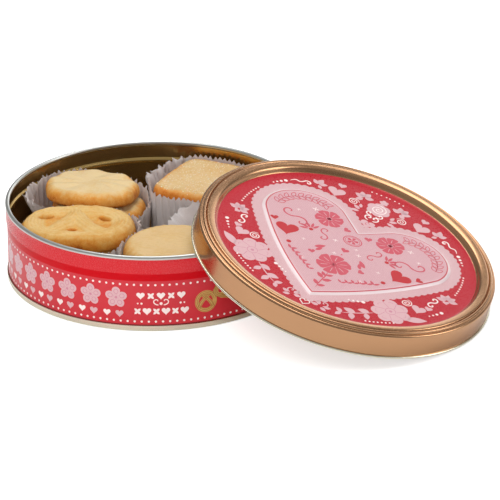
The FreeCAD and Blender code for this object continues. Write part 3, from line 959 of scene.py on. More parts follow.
def print_wall_biscuits():
    """A pretzel, a fluted ring and a bar of biscuit, right of the ornament."""
    dough_layer = wall_layer("wall_biscuits", BISCUIT, 0.035, grid=1.6)
    lines = wall_layer("wall_biscuit_lines", BROWN, 0.05)
    centre = wall_x(20.3)

    def ring(x, y, radius_x, radius_y, hole, turn=0.0, bumps=0):
        t = np.linspace(0, 2 * pi, 44, endpoint=False)
        swell = 1 + 0.03 * np.cos(bumps * t)
        outline = np.column_stack([radius_x * np.cos(t) * swell, radius_y * np.sin(t) * swell])
        opening = np.column_stack([hole * radius_x * np.cos(t[::2]),
                                   hole * radius_y * np.sin(t[::2])])
        dough_layer.shape(put(outline, x, y, 1, turn), holes=[put(opening, x, y, 1, turn)])

    # pretzel: a loop with two crossing bars
    ring(centre, 13.4, 5.4, 5.5, 0.64)
    t = np.linspace(0, 1, 16)
    for side in (-1, 1):
        x = centre + side * (3.7 - 5.7 * t + 1.0 * np.sin(pi * t))
        y = 9.9 + 7.2 * t
        dough_layer.stroke(np.column_stack([x, y]), 1.8, 1.7, taper=0.2)
        lines.stroke(np.column_stack([x + 0.62 * side, y]), 0.28)
        lines.stroke(np.column_stack([x - 0.62 * side, y]), 0.28)
    for r in (5.2, 4.3, 3.6):
        lines.stroke(ellipse(centre, 13.4, r, r * 1.015, 60, 0.15, 2 * pi - 0.15), 0.26)
    ring(centre + 8.6, 18.2, 4.9, 3.9, 0.46, 0.25, 9)
    for r in (0.96, 0.8, 0.62):
        lines.stroke(put(ellipse(0, 0, 4.9 * r, 3.9 * r, 50), centre + 8.6, 18.2, 1, 0.25), 0.26)
    bar = [(-5.6, -1.7), (5.2, -2.1), (6.1, -0.9), (5.9, 1.4),
           (4.9, 2.2), (-5.0, 2.0), (-6.2, 0.9), (-6.3, -0.8)]
    dough_layer.shape(put(bar, centre + 13.2, 13.8, 1, -0.32))
    wave = 0.15 * np.sin(np.linspace(0, 9, 20))
    for y in (-1.0, 0.0, 1.0):
        line = np.column_stack([np.linspace(-5.4, 5.3, 20), y + wave])
        lines.stroke(put(line, centre + 13.2, 13.8, 1, -0.32), 0.26)
    dough_layer.finish()
    lines.finish()


def print_side_seam():
    """Bare upright line on the wall, on the lid's side."""
    seam = wall_layer("side_seam", SILVER, 0.05)
    x = wall_x(66.0)
    seam.shape([(x - 1.1, 3.4), (x + 1.1, 3.4), (x + 1.1, 25.9), (x - 1.1, 25.9)], grid=1.4)
    seam.finish()


print_wall_dots()
print_wall_flowers()
print_wall_ornament()
print_wall_biscuits()
print_side_seam()

# ================================================================ lid print
lace = lid_layer("lid_lace", PALE, 0.022, grid=2.0)
field = lid_layer("lid_heart_field", HEART_PINK, 0.026, grid=3.0)
outline_ink = lid_layer("lid_heart_line", CRIMSON, 0.045, grid=9)
emboss_highlight = lid_layer("lid_emboss_highlight", EMBOSS_HIGHLIGHT, 0.06, grid=9)
pink = lid_layer("lid_pink_print", PINK, 0.03, grid=2.4)
mauve = lid_layer("lid_mauve_lines", MAUVE, 0.048, grid=3)
rose = lid_layer("lid_rose_print", ROSE, 0.05, grid=2.4)
veins = lid_layer("lid_petal_veins", HEART_PINK, 0.066, grid=3)
crimson = lid_layer("lid_crimson_print", CRIMSON, 0.06, grid=2.4)
white = lid_layer("lid_white_print", WHITE, 0.052, grid=3)


def print_heart_bands():
    """Scalloped lace round the heart, its field, and the two lines that follow its edge: a printed
    crimson line and a pale band of painted highlight on the embossed step.
    """
    edge = heart_ring(4.9, step=0.62)
    scallops = int(round(len(edge) / 6.0))
    phase = np.arange(len(edge)) / len(edge) * scallops * pi
    bumps = 1.15 * np.abs(np.sin(phase)) ** 0.7
    lace.shape(offset_loop(edge, bumps[:, None]), holes=[heart_ring(0.25)],
               extra=heart_rings((0.75, 0.5)))
    field.shape(heart_ring(-0.75), extra=heart_rings(BEAD_LINES))
    outline_ink.shape(heart_ring(-1.1), holes=[heart_ring(-1.55)], extra=heart_ring(-1.4))
    # pale band over the step itself: painted highlight of the emboss
    emboss_highlight.shape(heart_ring(0.50), holes=[heart_ring(-0.80)],
                 extra=heart_rings((0.25, 0.0, -0.25, -0.5, -0.7)))


def petal_flower(x, y, radius, count, turn, twist, fat):
    """Rosette of separate curved petals round a small centre; large ones are veined."""
    t = np.linspace(0.36, 0.82, 6)
    vein = bend(np.column_stack([np.zeros(6), t]), twist)
    for k in range(count):
        a = turn + k * 2 * pi / count
        rose.shape(put(bend(petal(fat), twist), x, y, radius, a))
        if radius > 5.0:
            veins.stroke(put(vein, x, y, radius, a), 0.42, 0.30)
    rose.dot(x, y, radius * 0.15)


def big_flower(x, y, radius, turn):
    """Seven-lobed pink flower with mauve lines."""
    pink.shape(put(blossom(7, 0.20, 84, 0.8), x, y, radius, turn), grid=2.6)
    between = np.linspace(0.30, 0.86, 8)
    across = np.linspace(-0.9, 0.9, 9)
    spoke = np.column_stack([0.05 * np.sin(between * 6), between])
    brow = np.column_stack([0.17 * np.sin(across), 0.62 + 0.16 * np.cos(across * 1.2)])
    for k in range(7):
        mauve.stroke(put(spoke, x, y, radius, turn + (k + 0.5) * 2 * pi / 7), 0.34, 0.22)
        mauve.stroke(put(brow, x, y, radius, turn + k * 2 * pi / 7), 0.26, 0.2)
    mauve.stroke(ellipse(x, y, 0.26 * radius, 0.26 * radius, 24), 0.34)
    mauve.dot(x, y, 0.09 * radius)


def double_scroll(layer, x, y, curl, size, turn, widths, side):
    """S-shaped pair of scrolls from one point."""
    for a in (turn, turn + pi):
        layer.stroke(put(scroll(curl), x, y, size, a), *widths, taper=0.3, side=side)


def print_heart_axis():
    """Flower and leafy stem on the heart's axis, down to the point."""
    petal_flower(0.0, -19.5, 8.7, 6, 0.2, 0.12, 0.44)
    rose.dot(0.0, -19.5, 1.9)
    rose.stroke([(0.2, -28.3), (0.5, -32.0), (0.1, -36.0), (-0.1, -40.0), (0.0, -44.6)], 0.75, 0.5)
    rose.leaves(0.30, ((-0.2, -34.6, 5.0, 0.85), (-0.1, -41.6, 4.6, 0.75),
                       (0.5, -36.6, 5.0, -0.85), (0.1, -42.6, 4.2, -0.85),
                       (0.1, -32.2, 3.8, 0.7), (0.5, -31.4, 3.8, -0.9)), count=9)


def print_garland(side):
    """Line with outlined leaves round the lobe."""
    ring = heart_ring(-6.3, step=0.5)
    ring = ring[(ring[:, 0] > 18.0) & (ring[:, 0] < 46.5) & (ring[:, 1] > 11.0)]
    ring = ring[np.argsort(np.arctan2(ring[:, 1] - 5, ring[:, 0] - 25))]
    line = ring[np.linspace(0, len(ring) - 1, 60).astype(int)]
    rose.stroke(line[2:-2], 0.32, side=side)
    along = np.gradient(line, axis=0)
    for k in range(4, 58, 6):
        heading = math.atan2(along[k, 1], along[k, 0]) - pi / 2
        for splay in (0.80, -0.80):
            rose.ribbon(put(leaf(0.33), *line[k], 4.1, heading + splay), 0.42, side=side)


def print_inside_half(side):
    """One half of the print inside the heart."""
    petal_flower(side * 16.4, 17.4, 7.3, 6, 0.25 * side, 0.10 * side, 0.44)
    rose.dot(side * 16.4, 17.4, 1.3)
    crimson.shape(put(SMALL_HEART, side * 29.7, -6.6, 5.8, -0.30 * side))
    crimson.shape(put(SMALL_HEART, side * 38.4, -1.6, 2.1, -0.55 * side))
    crimson.dot(side * 25.0, -16.5, 1.25)
    rose.shape(put(SMALL_HEART, side * 5.8, 14.3, 2.0, 0.4 * side))
    double_scroll(rose, 30.6, 7.0, 5.2, 6.2, 2.45, (0.92, 0.74), side)
    # fan of five drops
    fan_x, fan_y = side * 20.2, 1.9
    for a in (-1.15, -0.6, 0.0, 0.6, 1.15):
        rose.shape(put(leaf(0.19, 8) + (0.0, 0.30), fan_x, fan_y, 4.6, -side * 0.75 + a))
    crimson.dot(fan_x, fan_y, 1.15)
    double_scroll(rose, 13.4, 2.6, 5.0, 4.0, 0.15 + pi, (0.74, 0.6), side)
    # two curved leaves and a heart
    for dx, dy, length, turn in ((0, 0, 6.2, 0.95), (-1.4, -2.6, 4.6, 0.7)):
        rose.shape(put(bend(leaf(0.25), 0.18), 13.4 + dx, -11.2 + dy, length, turn), side=side)
    rose.shape(put(SMALL_HEART, side * 12.9, -16.2, 1.8, -0.5 * side))
    # feathered sprig along the heart's side
    for k in range(6):
        t = k / 5
        x, y, length = 22.0 - 13.4 * t, -21.6 - 10.2 * t, 3.5 - 0.5 * t
        rose.leaves(0.24, ((x, y, length, -0.7), (x, y, length, 0.9)), side=side)
    print_garland(side)


def print_medallion():
    """Ringed flower below the notch, with a heart and a dot under it."""
    rose.stroke(ellipse(0, 7.2, 4.6, 4.3, 40), 0.5, taper=0)
    rose.stroke(ellipse(0, 7.2, 3.7, 3.4, 40), 0.28, taper=0)
    petal_flower(0.0, 7.2, 2.9, 5, 0.0, 0.0, 0.34)
    rose.shape(put(SMALL_HEART, 0.0, -3.9, 2.1))
    rose.dot(0.0, -8.4, 0.5)


# four-pointed white stars inside the heart: x, y, size
TWINKLES = (
    (-7.0, 1.5, 1.0), (7.0, -3.0, 1.0), (-25.0, 20.8, 1.2), (26.5, 19.8, 1.2),
    (-3.5, -9.6, 0.8), (4.2, 1.0, 0.7), (-31.5, 14.0, 0.8), (33.0, 13.4, 0.8),
    (-14.5, -24.5, 0.8), (15.5, -24.0, 0.8), (-20.0, -9.0, 0.8), (20.0, -10.0, 0.8))


def pearls(count, start, sweep, radius, growth, side):
    """Row of dots on an arc about the lid's centre; start and sweep in degrees."""
    for k in range(count):
        t = k / (count - 1)
        a, r = math.radians(start + sweep * t), radius + growth * t
        white.dot(r * math.cos(a) * side, r * math.sin(a), 0.50)


def print_lower_outside(side):
    """Outside the heart: big flower, stem and coil beside the tip."""
    big_flower(side * 36.4, -36.0, 9.9, 0.35 * side)
    pink.shape(put(bend(leaf(0.26, 10), 0.25), 45.4, -37.6, 10.5, -0.62), side=side)
    pink.stroke([(30.0, -43.5), (27.0, -46.6), (24.0, -49.4), (20.6, -52.2), (17.4, -54.4)],
                0.75, 0.5, side=side)
    pink.leaves(0.36, ((28.4, -44.4, 5.8, 1.9), (27.4, -46.6, 5.0, -2.6), (23.2, -50.0, 6.2, 1.55),
                       (21.6, -51.4, 5.4, -2.75), (17.6, -54.2, 4.2, 1.0),
                       (17.2, -54.4, 4.0, 2.7)), count=9, side=side)
    white.dots(((16.6, -41.6, 0.42), (18.6, -40.7, 0.55), (20.6, -39.8, 0.72),
                (23.0, -38.4, 1.0)), side)
    pearls(8, -60.8, 13.6, 60.4, 0.0, side)
    pink.stroke(put(scroll(5.6), 8.6, -56.6, 3.4, 0.25), 0.75, 0.55, side=side)
    pink.leaves(0.36, ((6.6, -56.2, 3.8, 0.5), (6.4, -57.0, 3.8, 1.6), (8.0, -58.0, 3.6, -2.0),
                       (9.4, -57.0, 3.4, -1.2), (4.8, -54.8, 3.0, 0.0)), side=side)


def print_middle_outside(side):
    """Outside the heart: coil, hearts, scroll and fan up to the widest part."""
    white.stroke(put(spiral(2.2, 0.10, 44, 0.5), 40.0, -23.1, 2.9), 0.42, 0.5, side=side)
    pink.hearts(((46.8, -24.6, 3.7, 0.1), (50.5, -20.2, 2.0, 0.1)), side)
    white.dots(((53.0, -25.6, 0.42), (54.2, -23.6, 0.55), (55.4, -21.4, 0.75),
                (56.8, -18.6, 1.0)), side)
    double_scroll(white, 50.4, -13.4, 5.4, 3.4, 0.35, (0.8, 0.65), side)
    for a in (-1.5, -0.75, 0.0, 0.75, 1.5):
        pink.shape(put(leaf(0.36, 8) + (0.0, 0.12), 55.4, -6.6, 4.9, a + 0.2), side=side)
    pink.hearts(((55.6, -8.6, 1.7, 0.4),), side)
    pearls(9, 1.6, 17.6, 56.9, 1.4, side)


def print_upper_outside(side):
    """Outside the heart: the shoulder of the lobe and beside the notch."""
    white.dots(((46.6, 35.6, 1.0), (48.3, 33.4, 0.78), (49.7, 31.4, 0.6),
                (50.9, 29.5, 0.45)), side)
    # long swash that ends in a curl
    t = np.linspace(0, 1, 20)
    swash = np.column_stack([45.0 - 6.4 * t, 37.6 + 5.4 * t + 1.1 * np.sin(2 * pi * t)])
    curl = put(scroll(5.6), 0, 0, 2.6, 2.35)
    curl = curl - curl[0] + swash[-1]
    white.stroke(np.vstack([swash, curl[1:]]), 0.65, 0.8, side=side)
    pink.leaves(0.36, ((32.6, 45.4, 5.2, 0.15), (32.4, 45.2, 4.6, 1.1),
                       (32.8, 45.0, 4.4, -0.85), (32.0, 44.2, 3.2, 2.4)), side=side)
    pink.hearts(((22.8, 45.0, 4.6, -0.1), (22.4, 52.6, 2.2, -0.15)), side)
    pink.leaves(0.40, ((10.2, 50.8, 5.0, -1.3), (10.2, 51.2, 5.0, -0.5), (9.8, 51.4, 5.0, 0.35),
                       (9.4, 50.8, 4.6, 1.2), (10.0, 49.8, 4.2, -2.3)), side=side)
    white.stroke(put(spiral(2.1, 0.10, 42, 2.2), 12.8, 43.7, 2.9), 0.42, 0.5, side=side)
    pink.leaves(0.30, ((8.0, 38.9, 4.4, -1.0), (7.6, 37.2, 4.4, -1.75),
                       (8.0, 40.8, 3.6, -0.3)), side=side)
    white.dots([(1.3 + 2.4 * k if k else 0.9, 59.7 - 0.09 * k * k, 0.42) for k in range(4)], side)
    white.stroke(put(scroll(6.0), 1.2, 33.0, 3.9, 0.1), 0.65, 0.75, side=side)
    white.stroke(put(scroll(6.0), 1.0, 38.2, 3.4, -0.6), 0.6, 0.7, side=side)


def print_outside_axis():
    """On the lid's axis: a rose and heart above the notch, an outlined heart below the tip."""
    pink.shape(put(blossom(6, 0.16, 72, 0.8), 0.0, 45.4, 6.3, 0.2), grid=2.6)
    white.stroke(put(spiral(2.3, 0.06, 60, 0.3), 0.0, 45.4, 4.4), 0.42, 0.5)
    pink.shape(put(blossom(5, 0.3, 50, 0.9), 0.0, 53.6, 2.4, 0.3), grid=3)
    pink.shape(put(SMALL_HEART, 0.0, 28.6, 3.7))
    rose.stroke(put(ellipse(0, 0.1, 0.35, 0.35, 16, 0, 5), 0.0, 28.6, 3.0), 0.3)
    white.ribbon(put(SMALL_HEART, 0.0, -59.2, 2.5), 0.5)


print_heart_bands()
print_heart_axis()
for side in (1.0, -1.0):
    print_inside_half(side)
print_medallion()
for x, y, size in TWINKLES:
    white.leaves(0.16, [(x, y, size * 1.5, q * pi / 2 + 0.2) for q in range(4)], count=5)
for side in (1.0, -1.0):
    print_lower_outside(side)
    print_middle_outside(side)
    print_upper_outside(side)
print_outside_axis()
for layer in (lace, field, outline_ink, emboss_highlight, pink, mauve, rose, veins, crimson, white):
    layer.finish()


# ======================================================= biscuit materials
def dough(name, colours, crumb):
    """Baked shortbread; colours run from pale to browned, crumb scales the surface relief."""
    mat = Material(name)
    # each biscuit's seed moves it to its own part of the textures
    shift = mat.node("CombineXYZ")
    seed = mat.attribute("seed")
    for axis, factor in zip("XYZ", (17.0, 31.0, 7.0)):
        mat.feed(shift.inputs[axis], mat.math("MULTIPLY", seed, factor))
    moved = mat.node("VectorMath")
    moved.operation = "ADD"
    mat.feed(moved.inputs[0], mat.place)
    mat.feed(moved.inputs[1], shift.outputs[0])
    mat.place = moved.outputs[0]

    broad = mat.noise(scale=0.09, detail=3.0)
    middle = mat.noise(scale=0.45, detail=4.0, rough=0.6)
    fine = mat.noise(scale=2.2, detail=5.0, rough=0.65)
    bake = mat.attribute("bake")
    for texture, reach in ((broad, (-0.13, 0.15)), (middle, (-0.13, 0.13)), (fine, (-0.10, 0.10))):
        bake = mat.math("ADD", bake, mat.remap(texture, span=(0.3, 0.7), to=reach))
    pale, _, _, toasted, _ = stops = [lin(*c) for c in colours]
    colour = mat.ramp(bake, list(zip((0.0, 0.28, 0.55, 0.8, 1.0), stops)))
    # toasted specks, then butter-bright flecks
    specks = mat.remap(mat.cells(scale=1.3), span=(0.06, 0.16), to=(0.35, 0.0))
    colour = mat.mix(specks, colour, toasted)
    flecks = mat.remap(mat.cells(scale=2.1), span=(0.05, 0.16), to=(0.30, 0.0))
    colour = mat.mix(flecks, colour, pale)
    pores = mat.remap(mat.cells(scale=0.85), span=(0.04, 0.20), to=(-0.55 * crumb, 0.0))
    height = mat.math("ADD", mat.math("MULTIPLY", fine, 0.55 * crumb),
                      mat.math("MULTIPLY", middle, 0.5 * crumb))
    height = mat.math("ADD", height, pores)
    mat.principled(Base_Color=colour,
                   Roughness=mat.remap(fine, span=(0.3, 0.7), to=(0.558, 0.713)),
                   Specular_IOR_Level=0.32, Subsurface_Weight=0.12, Subsurface_Scale=0.0015,
                   Subsurface_Radius=(1.0, 0.5, 0.22),
                   Normal=mat.bump(height, distance=0.22 * MM, strength=0.75))
    return mat


# sRGB from pale middle to browned edge
OVAL_BAKE = ((222, 196, 148), (218, 182, 122), (218, 156, 74), (208, 128, 46), (168, 90, 26))
PRETZEL_BAKE = ((220, 186, 124), (214, 168, 94), (210, 144, 60), (196, 116, 38), (146, 76, 24))
ROUND_BAKE = ((220, 188, 136), (214, 178, 120), (210, 158, 86), (196, 128, 56), (156, 88, 34))
SUGAR_BAKE = ((216, 184, 134), (210, 170, 112), (214, 150, 76), (206, 122, 44), (164, 86, 26))
OVAL_DOUGH = dough("shortbread_oval", OVAL_BAKE, crumb=1.5)
PRETZEL_DOUGH = dough("shortbread_pretzel", PRETZEL_BAKE, crumb=1.9)
ROUND_DOUGH = dough("shortbread_round", ROUND_BAKE, crumb=1.5)
RING_DOUGH = dough("shortbread_ring", PRETZEL_BAKE, crumb=1.0)
SUGAR_DOUGH = dough("shortbread_sugared", SUGAR_BAKE, crumb=1.8)


# ================================================================= biscuits
def surface_noise(points, scale, seed, octaves):
    return np.array([noise.fractal(Vector((x * scale + seed * 7.3, y * scale - seed * 3.1,
                                           seed * 1.7)), 0.8, 2.0, octaves) for x, y in points])


# Reliefs take points, their depth in from the edge and a seed, and return the height in
# millimetres and the extra browning.
def oval_relief(p, depth, seed):
    """Soft folds that run in from a lobed edge."""
    x, y = p[:, 0] / 24.0, p[:, 1] / 20.8
    angle, rho = np.arctan2(y, x), np.hypot(x, y)
    fold = np.cos(9 * angle + 1.2 * np.sin(2 * angle + seed) + 3.0 * rho)
    swell = surface_noise(p, 0.07, seed, 2)
    height = (fold * 0.42 * smooth01((rho - 0.15) / 0.5)
              + swell * 0.6 + 0.45 * (1 - rho ** 2) - 0.25)
    bake = -0.05 + 0.10 * (1 - smooth01((fold + 0.4) / 0.9)) * smooth01(rho) + 0.05 * swell
    return height, bake


def line_distance(p, line):
    """Distance to a polyline and the signed offset across it."""
    best, offset = np.full(len(p), 1e9), np.zeros(len(p))
    for start, end in zip(line[:-1], line[1:]):
        run = end - start
        t = np.clip(((p - start) @ run) / max(run @ run, 1e-9), 0, 1)
        d = np.linalg.norm(p - (start + t[:, None] * run), axis=1)
        cross = run[0] * (p[:, 1] - start[1]) - run[1] * (p[:, 0] - start[0])
        closer = d < best
        best[closer] = d[closer]
        offset[closer] = (np.sign(cross) * d)[closer]
    return best, offset


def smooth_curve(controls):
    """Smooth curve of 24 points through five."""
    c = np.array(controls, float)
    at, fine = np.linspace(0, 1, len(c)), np.linspace(0, 1, 24)
    return np.column_stack([np.polyval(np.polyfit(at, c[:, j], 4), fine) for j in range(2)])


RING_LINE = rounded_rect(28.4 - 6.0, 21.5 - 5.6, 15.2, 90)[0]
# the pretzel's strands: centre line and half width
STRANDS = (
    (np.vstack([RING_LINE, RING_LINE[:1]]), 6.2),
    (smooth_curve([(-2.5, 17.5), (-2.0, 8.0), (-6.5, -1.0), (-13.0, -8.5), (-20.5, -12.5)]), 5.0),
    (smooth_curve([(0.5, 17.5), (-0.5, 8.0), (4.0, -2.0), (9.0, -9.0), (17.0, -13.5)]), 5.0))
VALLEY = -1.35          # height between the strands


def pretzel_relief(p, depth, seed):
    """Piped strands, each with fine grooves from the nozzle."""
    height = np.full(len(p), VALLEY)
    groove = np.zeros(len(p))
    gap = np.full(len(p), 99.0)
    for line, half in STRANDS:
        d, offset = line_distance(p, line)
        crown = 1.9 * (1 - np.clip(d / half, 0, 1) ** 2) + VALLEY
        above = crown > height
        height[above] = crown[above]
        groove[above] = np.cos(2 * pi * offset / 1.75)[above]
        gap = np.minimum(gap, d / half)
    swell = surface_noise(p, 0.13, seed, 3)
    fine = surface_noise(p, 0.5, seed + 3, 2)
    height = height + groove * 0.20 * smooth01(1.3 - gap) + swell * 0.45 + fine * 0.12 + 0.35
    return height, 0.10 + 0.26 * smooth01((gap - 0.7) / 0.5) - 0.07 * groove + 0.12 * swell


def round_relief(p, depth, seed):
    """Fine parallel lines at a slant."""
    a = math.radians(-12 + 7 * seed)
    across = -p[:, 0] * math.sin(a) + p[:, 1] * math.cos(a)
    swell = surface_noise(p, 0.08, seed, 3)
    line = np.cos(2 * pi * (across + swell * 1.2) / 2.3)
    height = 0.16 * line + swell * 0.40 + 0.15 - 0.3 * smooth01(1 - depth / 9)
    return height, 0.03 + 0.09 * np.maximum(-line, 0) + 0.13 * swell


def sugar_relief(p, depth, seed):
    """Plain rough top."""
    swell = surface_noise(p, 0.10, seed, 4)
    fine = surface_noise(p, 0.6, seed + 5, 3)
    return swell * 0.45 + fine * 0.20 - 0.35, 0.05 + 0.10 * swell + 0.06 * fine


def ring_relief(p, depth, seed):
    """Ring with slanting flutes."""
    r = np.hypot(p[:, 0], p[:, 1])
    flute = np.cos(22 * np.arctan2(p[:, 1], p[:, 0]) + (r - 15) * 0.22)
    crown = 1 - ((r - 14.9) / 8.2) ** 2
    return (0.30 * flute + 0.5 * crown - 0.75,
            0.06 - 0.06 * flute + 0.10 * (1 - np.clip(crown, 0, 1)))


BACK_LEFT_YAW, BACK_RIGHT_YAW = -20.0, 63.0         # degrees, shared with the cups
INSETS = (0.1, 0.35, 0.75, 1.3, 2.0, 2.9)           # loops inside the edge
BOTTOM_ROUND, HOLE_ROUND = 1.7, 1.3                 # edge radii beneath and at the holes
WIDEST = BOTTOM_ROUND + 0.4                         # height of the side's widest line


def hole_outline(x, y, radius_x, radius_y, turn, seed):
    count = max(int(2 * pi * radius_x / 0.5), 16)
    a = np.arange(count) * 2 * pi / count
    wobble = 1 + 0.10 * np.sin(2 * a + seed) + 0.05 * np.sin(3 * a)
    loop = np.column_stack([radius_x * wobble * np.cos(a), radius_y * wobble * np.sin(a)])
    return put(loop, x, y, 1, turn)


def bake_biscuit(node, own_body, slot, material, outline, normals, thick, relief, grid,
                 edge_round, seed, edge_noise, brown=(5.0, 2.2, 0.62), yaw=0.0, tilt=0.0,
                 holes=()):
    """A baked sheet with rounded edges and a relief on top, centred in its CAD box.

    brown is the width, falloff power and strength of the browned edge; yaw and tilt are in
    degrees; holes are rows of x, y, two radii and a turn. Returns the vertices, the flat
    points of the top and the placement.
    """
    low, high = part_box(node)
    centre = np.array([(low.x + high.x) / 2 / MM, (low.y + high.y) / 2 / MM,
                       (low.z + high.z) / 2 / MM])
    edge = outline + normals * (surface_noise(outline, 0.11, seed, 3) * edge_noise)[:, None]
    hole_loops = [hole_outline(*hole, seed) for hole in holes]
    extra = [edge - normals * d for d in INSETS]
    for loop, (x, y, *_) in zip(hole_loops, holes):
        middle = np.array([x, y])
        spoke = loop - middle
        length = np.linalg.norm(spoke, axis=1, keepdims=True)
        extra += [middle + spoke / length * (length + d) for d in INSETS[:5]]
    extra = np.vstack(extra)
    extra = extra[within(extra, edge, hole_loops)]
    grid_x, grid_y = np.meshgrid(np.arange(edge[:, 0].min(), edge[:, 0].max(), grid),
                                 np.arange(edge[:, 1].min(), edge[:, 1].max(), grid))
    grid_x = grid_x + (np.arange(grid_x.shape[0]) % 2)[:, None] * grid / 2
    middle = np.column_stack([grid_x.ravel(), grid_y.ravel()])
    middle = middle[within(middle, edge, hole_loops)]
    middle = middle[dist_poly(middle, edge) > 3.1]
    for loop in hole_loops:
        middle = middle[dist_poly(middle, loop) > 2.2]
    flat, faces, rim_edges = fill(edge, hole_loops, np.vstack([extra, middle]), 1e-4)

    from_edge = dist_poly(flat, edge)
    from_hole = np.full(len(flat), 99.0)
    for loop in hole_loops:
        from_hole = np.minimum(from_hole, dist_poly(flat, loop))
    depth = np.minimum(from_edge, from_hole)

    def rounding(radius):
        return np.sqrt(np.clip(1 - (1 - np.clip(depth / radius, 0, 1)) ** 2, 0, 1))

    bumps, extra_bake = relief(flat, from_edge, seed)
    top_round = np.where(from_hole < from_edge, HOLE_ROUND, edge_round)
    top = WIDEST + (thick - WIDEST) * rounding(top_round) + bumps * smooth01(depth / 3.0)
    under = WIDEST - WIDEST * rounding(BOTTOM_ROUND)

    # the underside shares the rim's vertices with the top
    count = len(flat)
    rim = {a for a, _ in rim_edges}
    inner = [i for i in range(count) if i not in rim]
    lower = {i: i for i in rim}
    lower.update({i: count + k for k, i in enumerate(inner)})
    verts = np.vstack([np.column_stack([flat, top]), np.column_stack([flat, under])[inner]])
    verts[:, 2] -= thick / 2
    both = []
    for face in faces:
        both += [face, tuple(lower[i] for i in reversed(face))]

    width, power, strength = brown
    edge_bake = (np.clip(1 - from_edge / width, 0, 1) ** power * strength
                 + np.clip(1 - from_hole / 2.0, 0, 1) * 0.40)
    bake = np.full(len(verts), strength + 0.06)
    bake[:count] = np.clip(edge_bake + extra_bake, 0, 1)
    cos_yaw, sin_yaw = math.cos(math.radians(yaw)), math.sin(math.radians(yaw))
    cos_tilt, sin_tilt = math.cos(math.radians(tilt)), math.sin(math.radians(tilt))
    turn = (np.array([[cos_yaw, -sin_yaw, 0], [sin_yaw, cos_yaw, 0], [0, 0, 1]])
            @ np.array([[1, 0, 0], [0, cos_tilt, -sin_tilt], [0, sin_tilt, cos_tilt]]))
    add_mesh(node + "_baked", verts, both, [material], slot,
             body=node if own_body else "root", place=(turn, centre), replaces=node,
             attributes={"bake": bake, "seed": np.full(len(verts), float(seed))})
    return verts, flat, (turn, centre)


# Each stack has four levels, counted from 1 at the bottom. half: half sizes and corner radius;
# lobes: height, number and phase per level of waves on the edge; counts and grids: outline
# points and grid step by level; seed: added to the level. The rest goes to bake_biscuit.
STACKS = (
    dict(kind="oval", half=(23.5, 20.4, 20.2), lobes=(0.42, 9, 0.7), seed=2,
         counts=(120, 120, 190, 190), grids=(1.6, 1.6, 0.9, 0.55),
         bake=dict(own_body=True, slot="oval_biscuit", material=OVAL_DOUGH, thick=7.7,
                   relief=oval_relief, yaw=BACK_LEFT_YAW, edge_round=4.4, edge_noise=0.30,
                   brown=(5.6, 1.35, 0.74))),
    dict(kind="pretzel", half=(28.5, 21.5, 21.4), lobes=(0, 0, 0), seed=11,
         counts=(120, 120, 120, 220), grids=(1.5, 1.5, 1.5, 0.5),
         bake=dict(own_body=True, slot="pretzel_biscuit", material=PRETZEL_DOUGH, thick=7.75,
                   relief=pretzel_relief, edge_round=3.4, edge_noise=0.45,
                   brown=(5.4, 1.9, 0.56),
                   holes=((-15.5, 6.5, 2.7, 1.1, 0.45), (13.0, 4.5, 2.7, 1.35, -0.75),
                          (-2.5, -9.0, 1.25, 0.85, 0.2)))),
    dict(kind="round", half=(24.75, 24.75, 24.75), lobes=(0, 0, 0), seed=21,
         counts=(120, 120, 120, 200), grids=(1.6, 1.6, 1.6, 0.55),
         bake=dict(own_body=False, slot="round_biscuit", material=ROUND_DOUGH, thick=7.95,
                   relief=round_relief, edge_round=4.0, edge_noise=0.28,
                   brown=(6.0, 1.6, 0.62))),
    dict(kind="ring", half=(22.5, 22.5, 22.5), lobes=(0.25, 22, 0), seed=31,
         counts=(120, 120, 120, 200), grids=(1.6, 1.6, 1.6, 0.7),
         bake=dict(own_body=False, slot="ring_biscuit", material=RING_DOUGH, thick=7.4,
                   relief=ring_relief, edge_round=4.0, edge_noise=0.15,
                   holes=((0.0, 0.0, 7.0, 7.0, 0.0),))),
    dict(kind="sugar", half=(23.15, 18.4, 8.8), lobes=(0, 0, 0), seed=41,
         counts=(120, 120, 190, 190), grids=(1.6, 1.6, 1.6, 0.55),
         bake=dict(own_body=True, slot="sugared_biscuit", material=SUGAR_DOUGH, thick=7.5,
                   relief=sugar_relief, yaw=BACK_RIGHT_YAW, edge_round=2.6, edge_noise=0.35,
                   brown=(4.2, 1.0, 0.74))))
TOP_OVAL_TILT = -3.5        # the top oval biscuit lies askew

for level in range(1, 5):
    for stack in STACKS:
        points, normals = rounded_rect(*stack["half"], stack["counts"][level - 1])
        height, number, phase = stack["lobes"]
        angle = np.arctan2(points[:, 1], points[:, 0])
        points = points + normals * (height * np.cos(number * angle + phase * level))[:, None]
        askew = stack["kind"] == "oval" and level == 4
        last_baked = bake_biscuit(
            f"{stack['kind']}_cookie_{level}", outline=points, normals=normals,
            grid=stack["grids"][level - 1], seed=level + stack["seed"],
            tilt=TOP_OVAL_TILT if askew else 0.0, **stack["bake"])


def sugar_material():
    mat = Material("sugar_grains")
    cloud = mat.noise(scale=3.0, detail=3.0)
    colour = mat.mix(mat.remap(cloud, span=(0.35, 0.65), to=(0.0, 1.0)),
                     lin(252, 244, 226), lin(240, 214, 170))
    mat.principled(Base_Color=colour,
                   Roughness=mat.remap(cloud, span=(0.3, 0.7), to=(0.12, 0.35)),
                   Specular_IOR_Level=0.7, Subsurface_Weight=0.3, Subsurface_Scale=0.0004)
    return mat


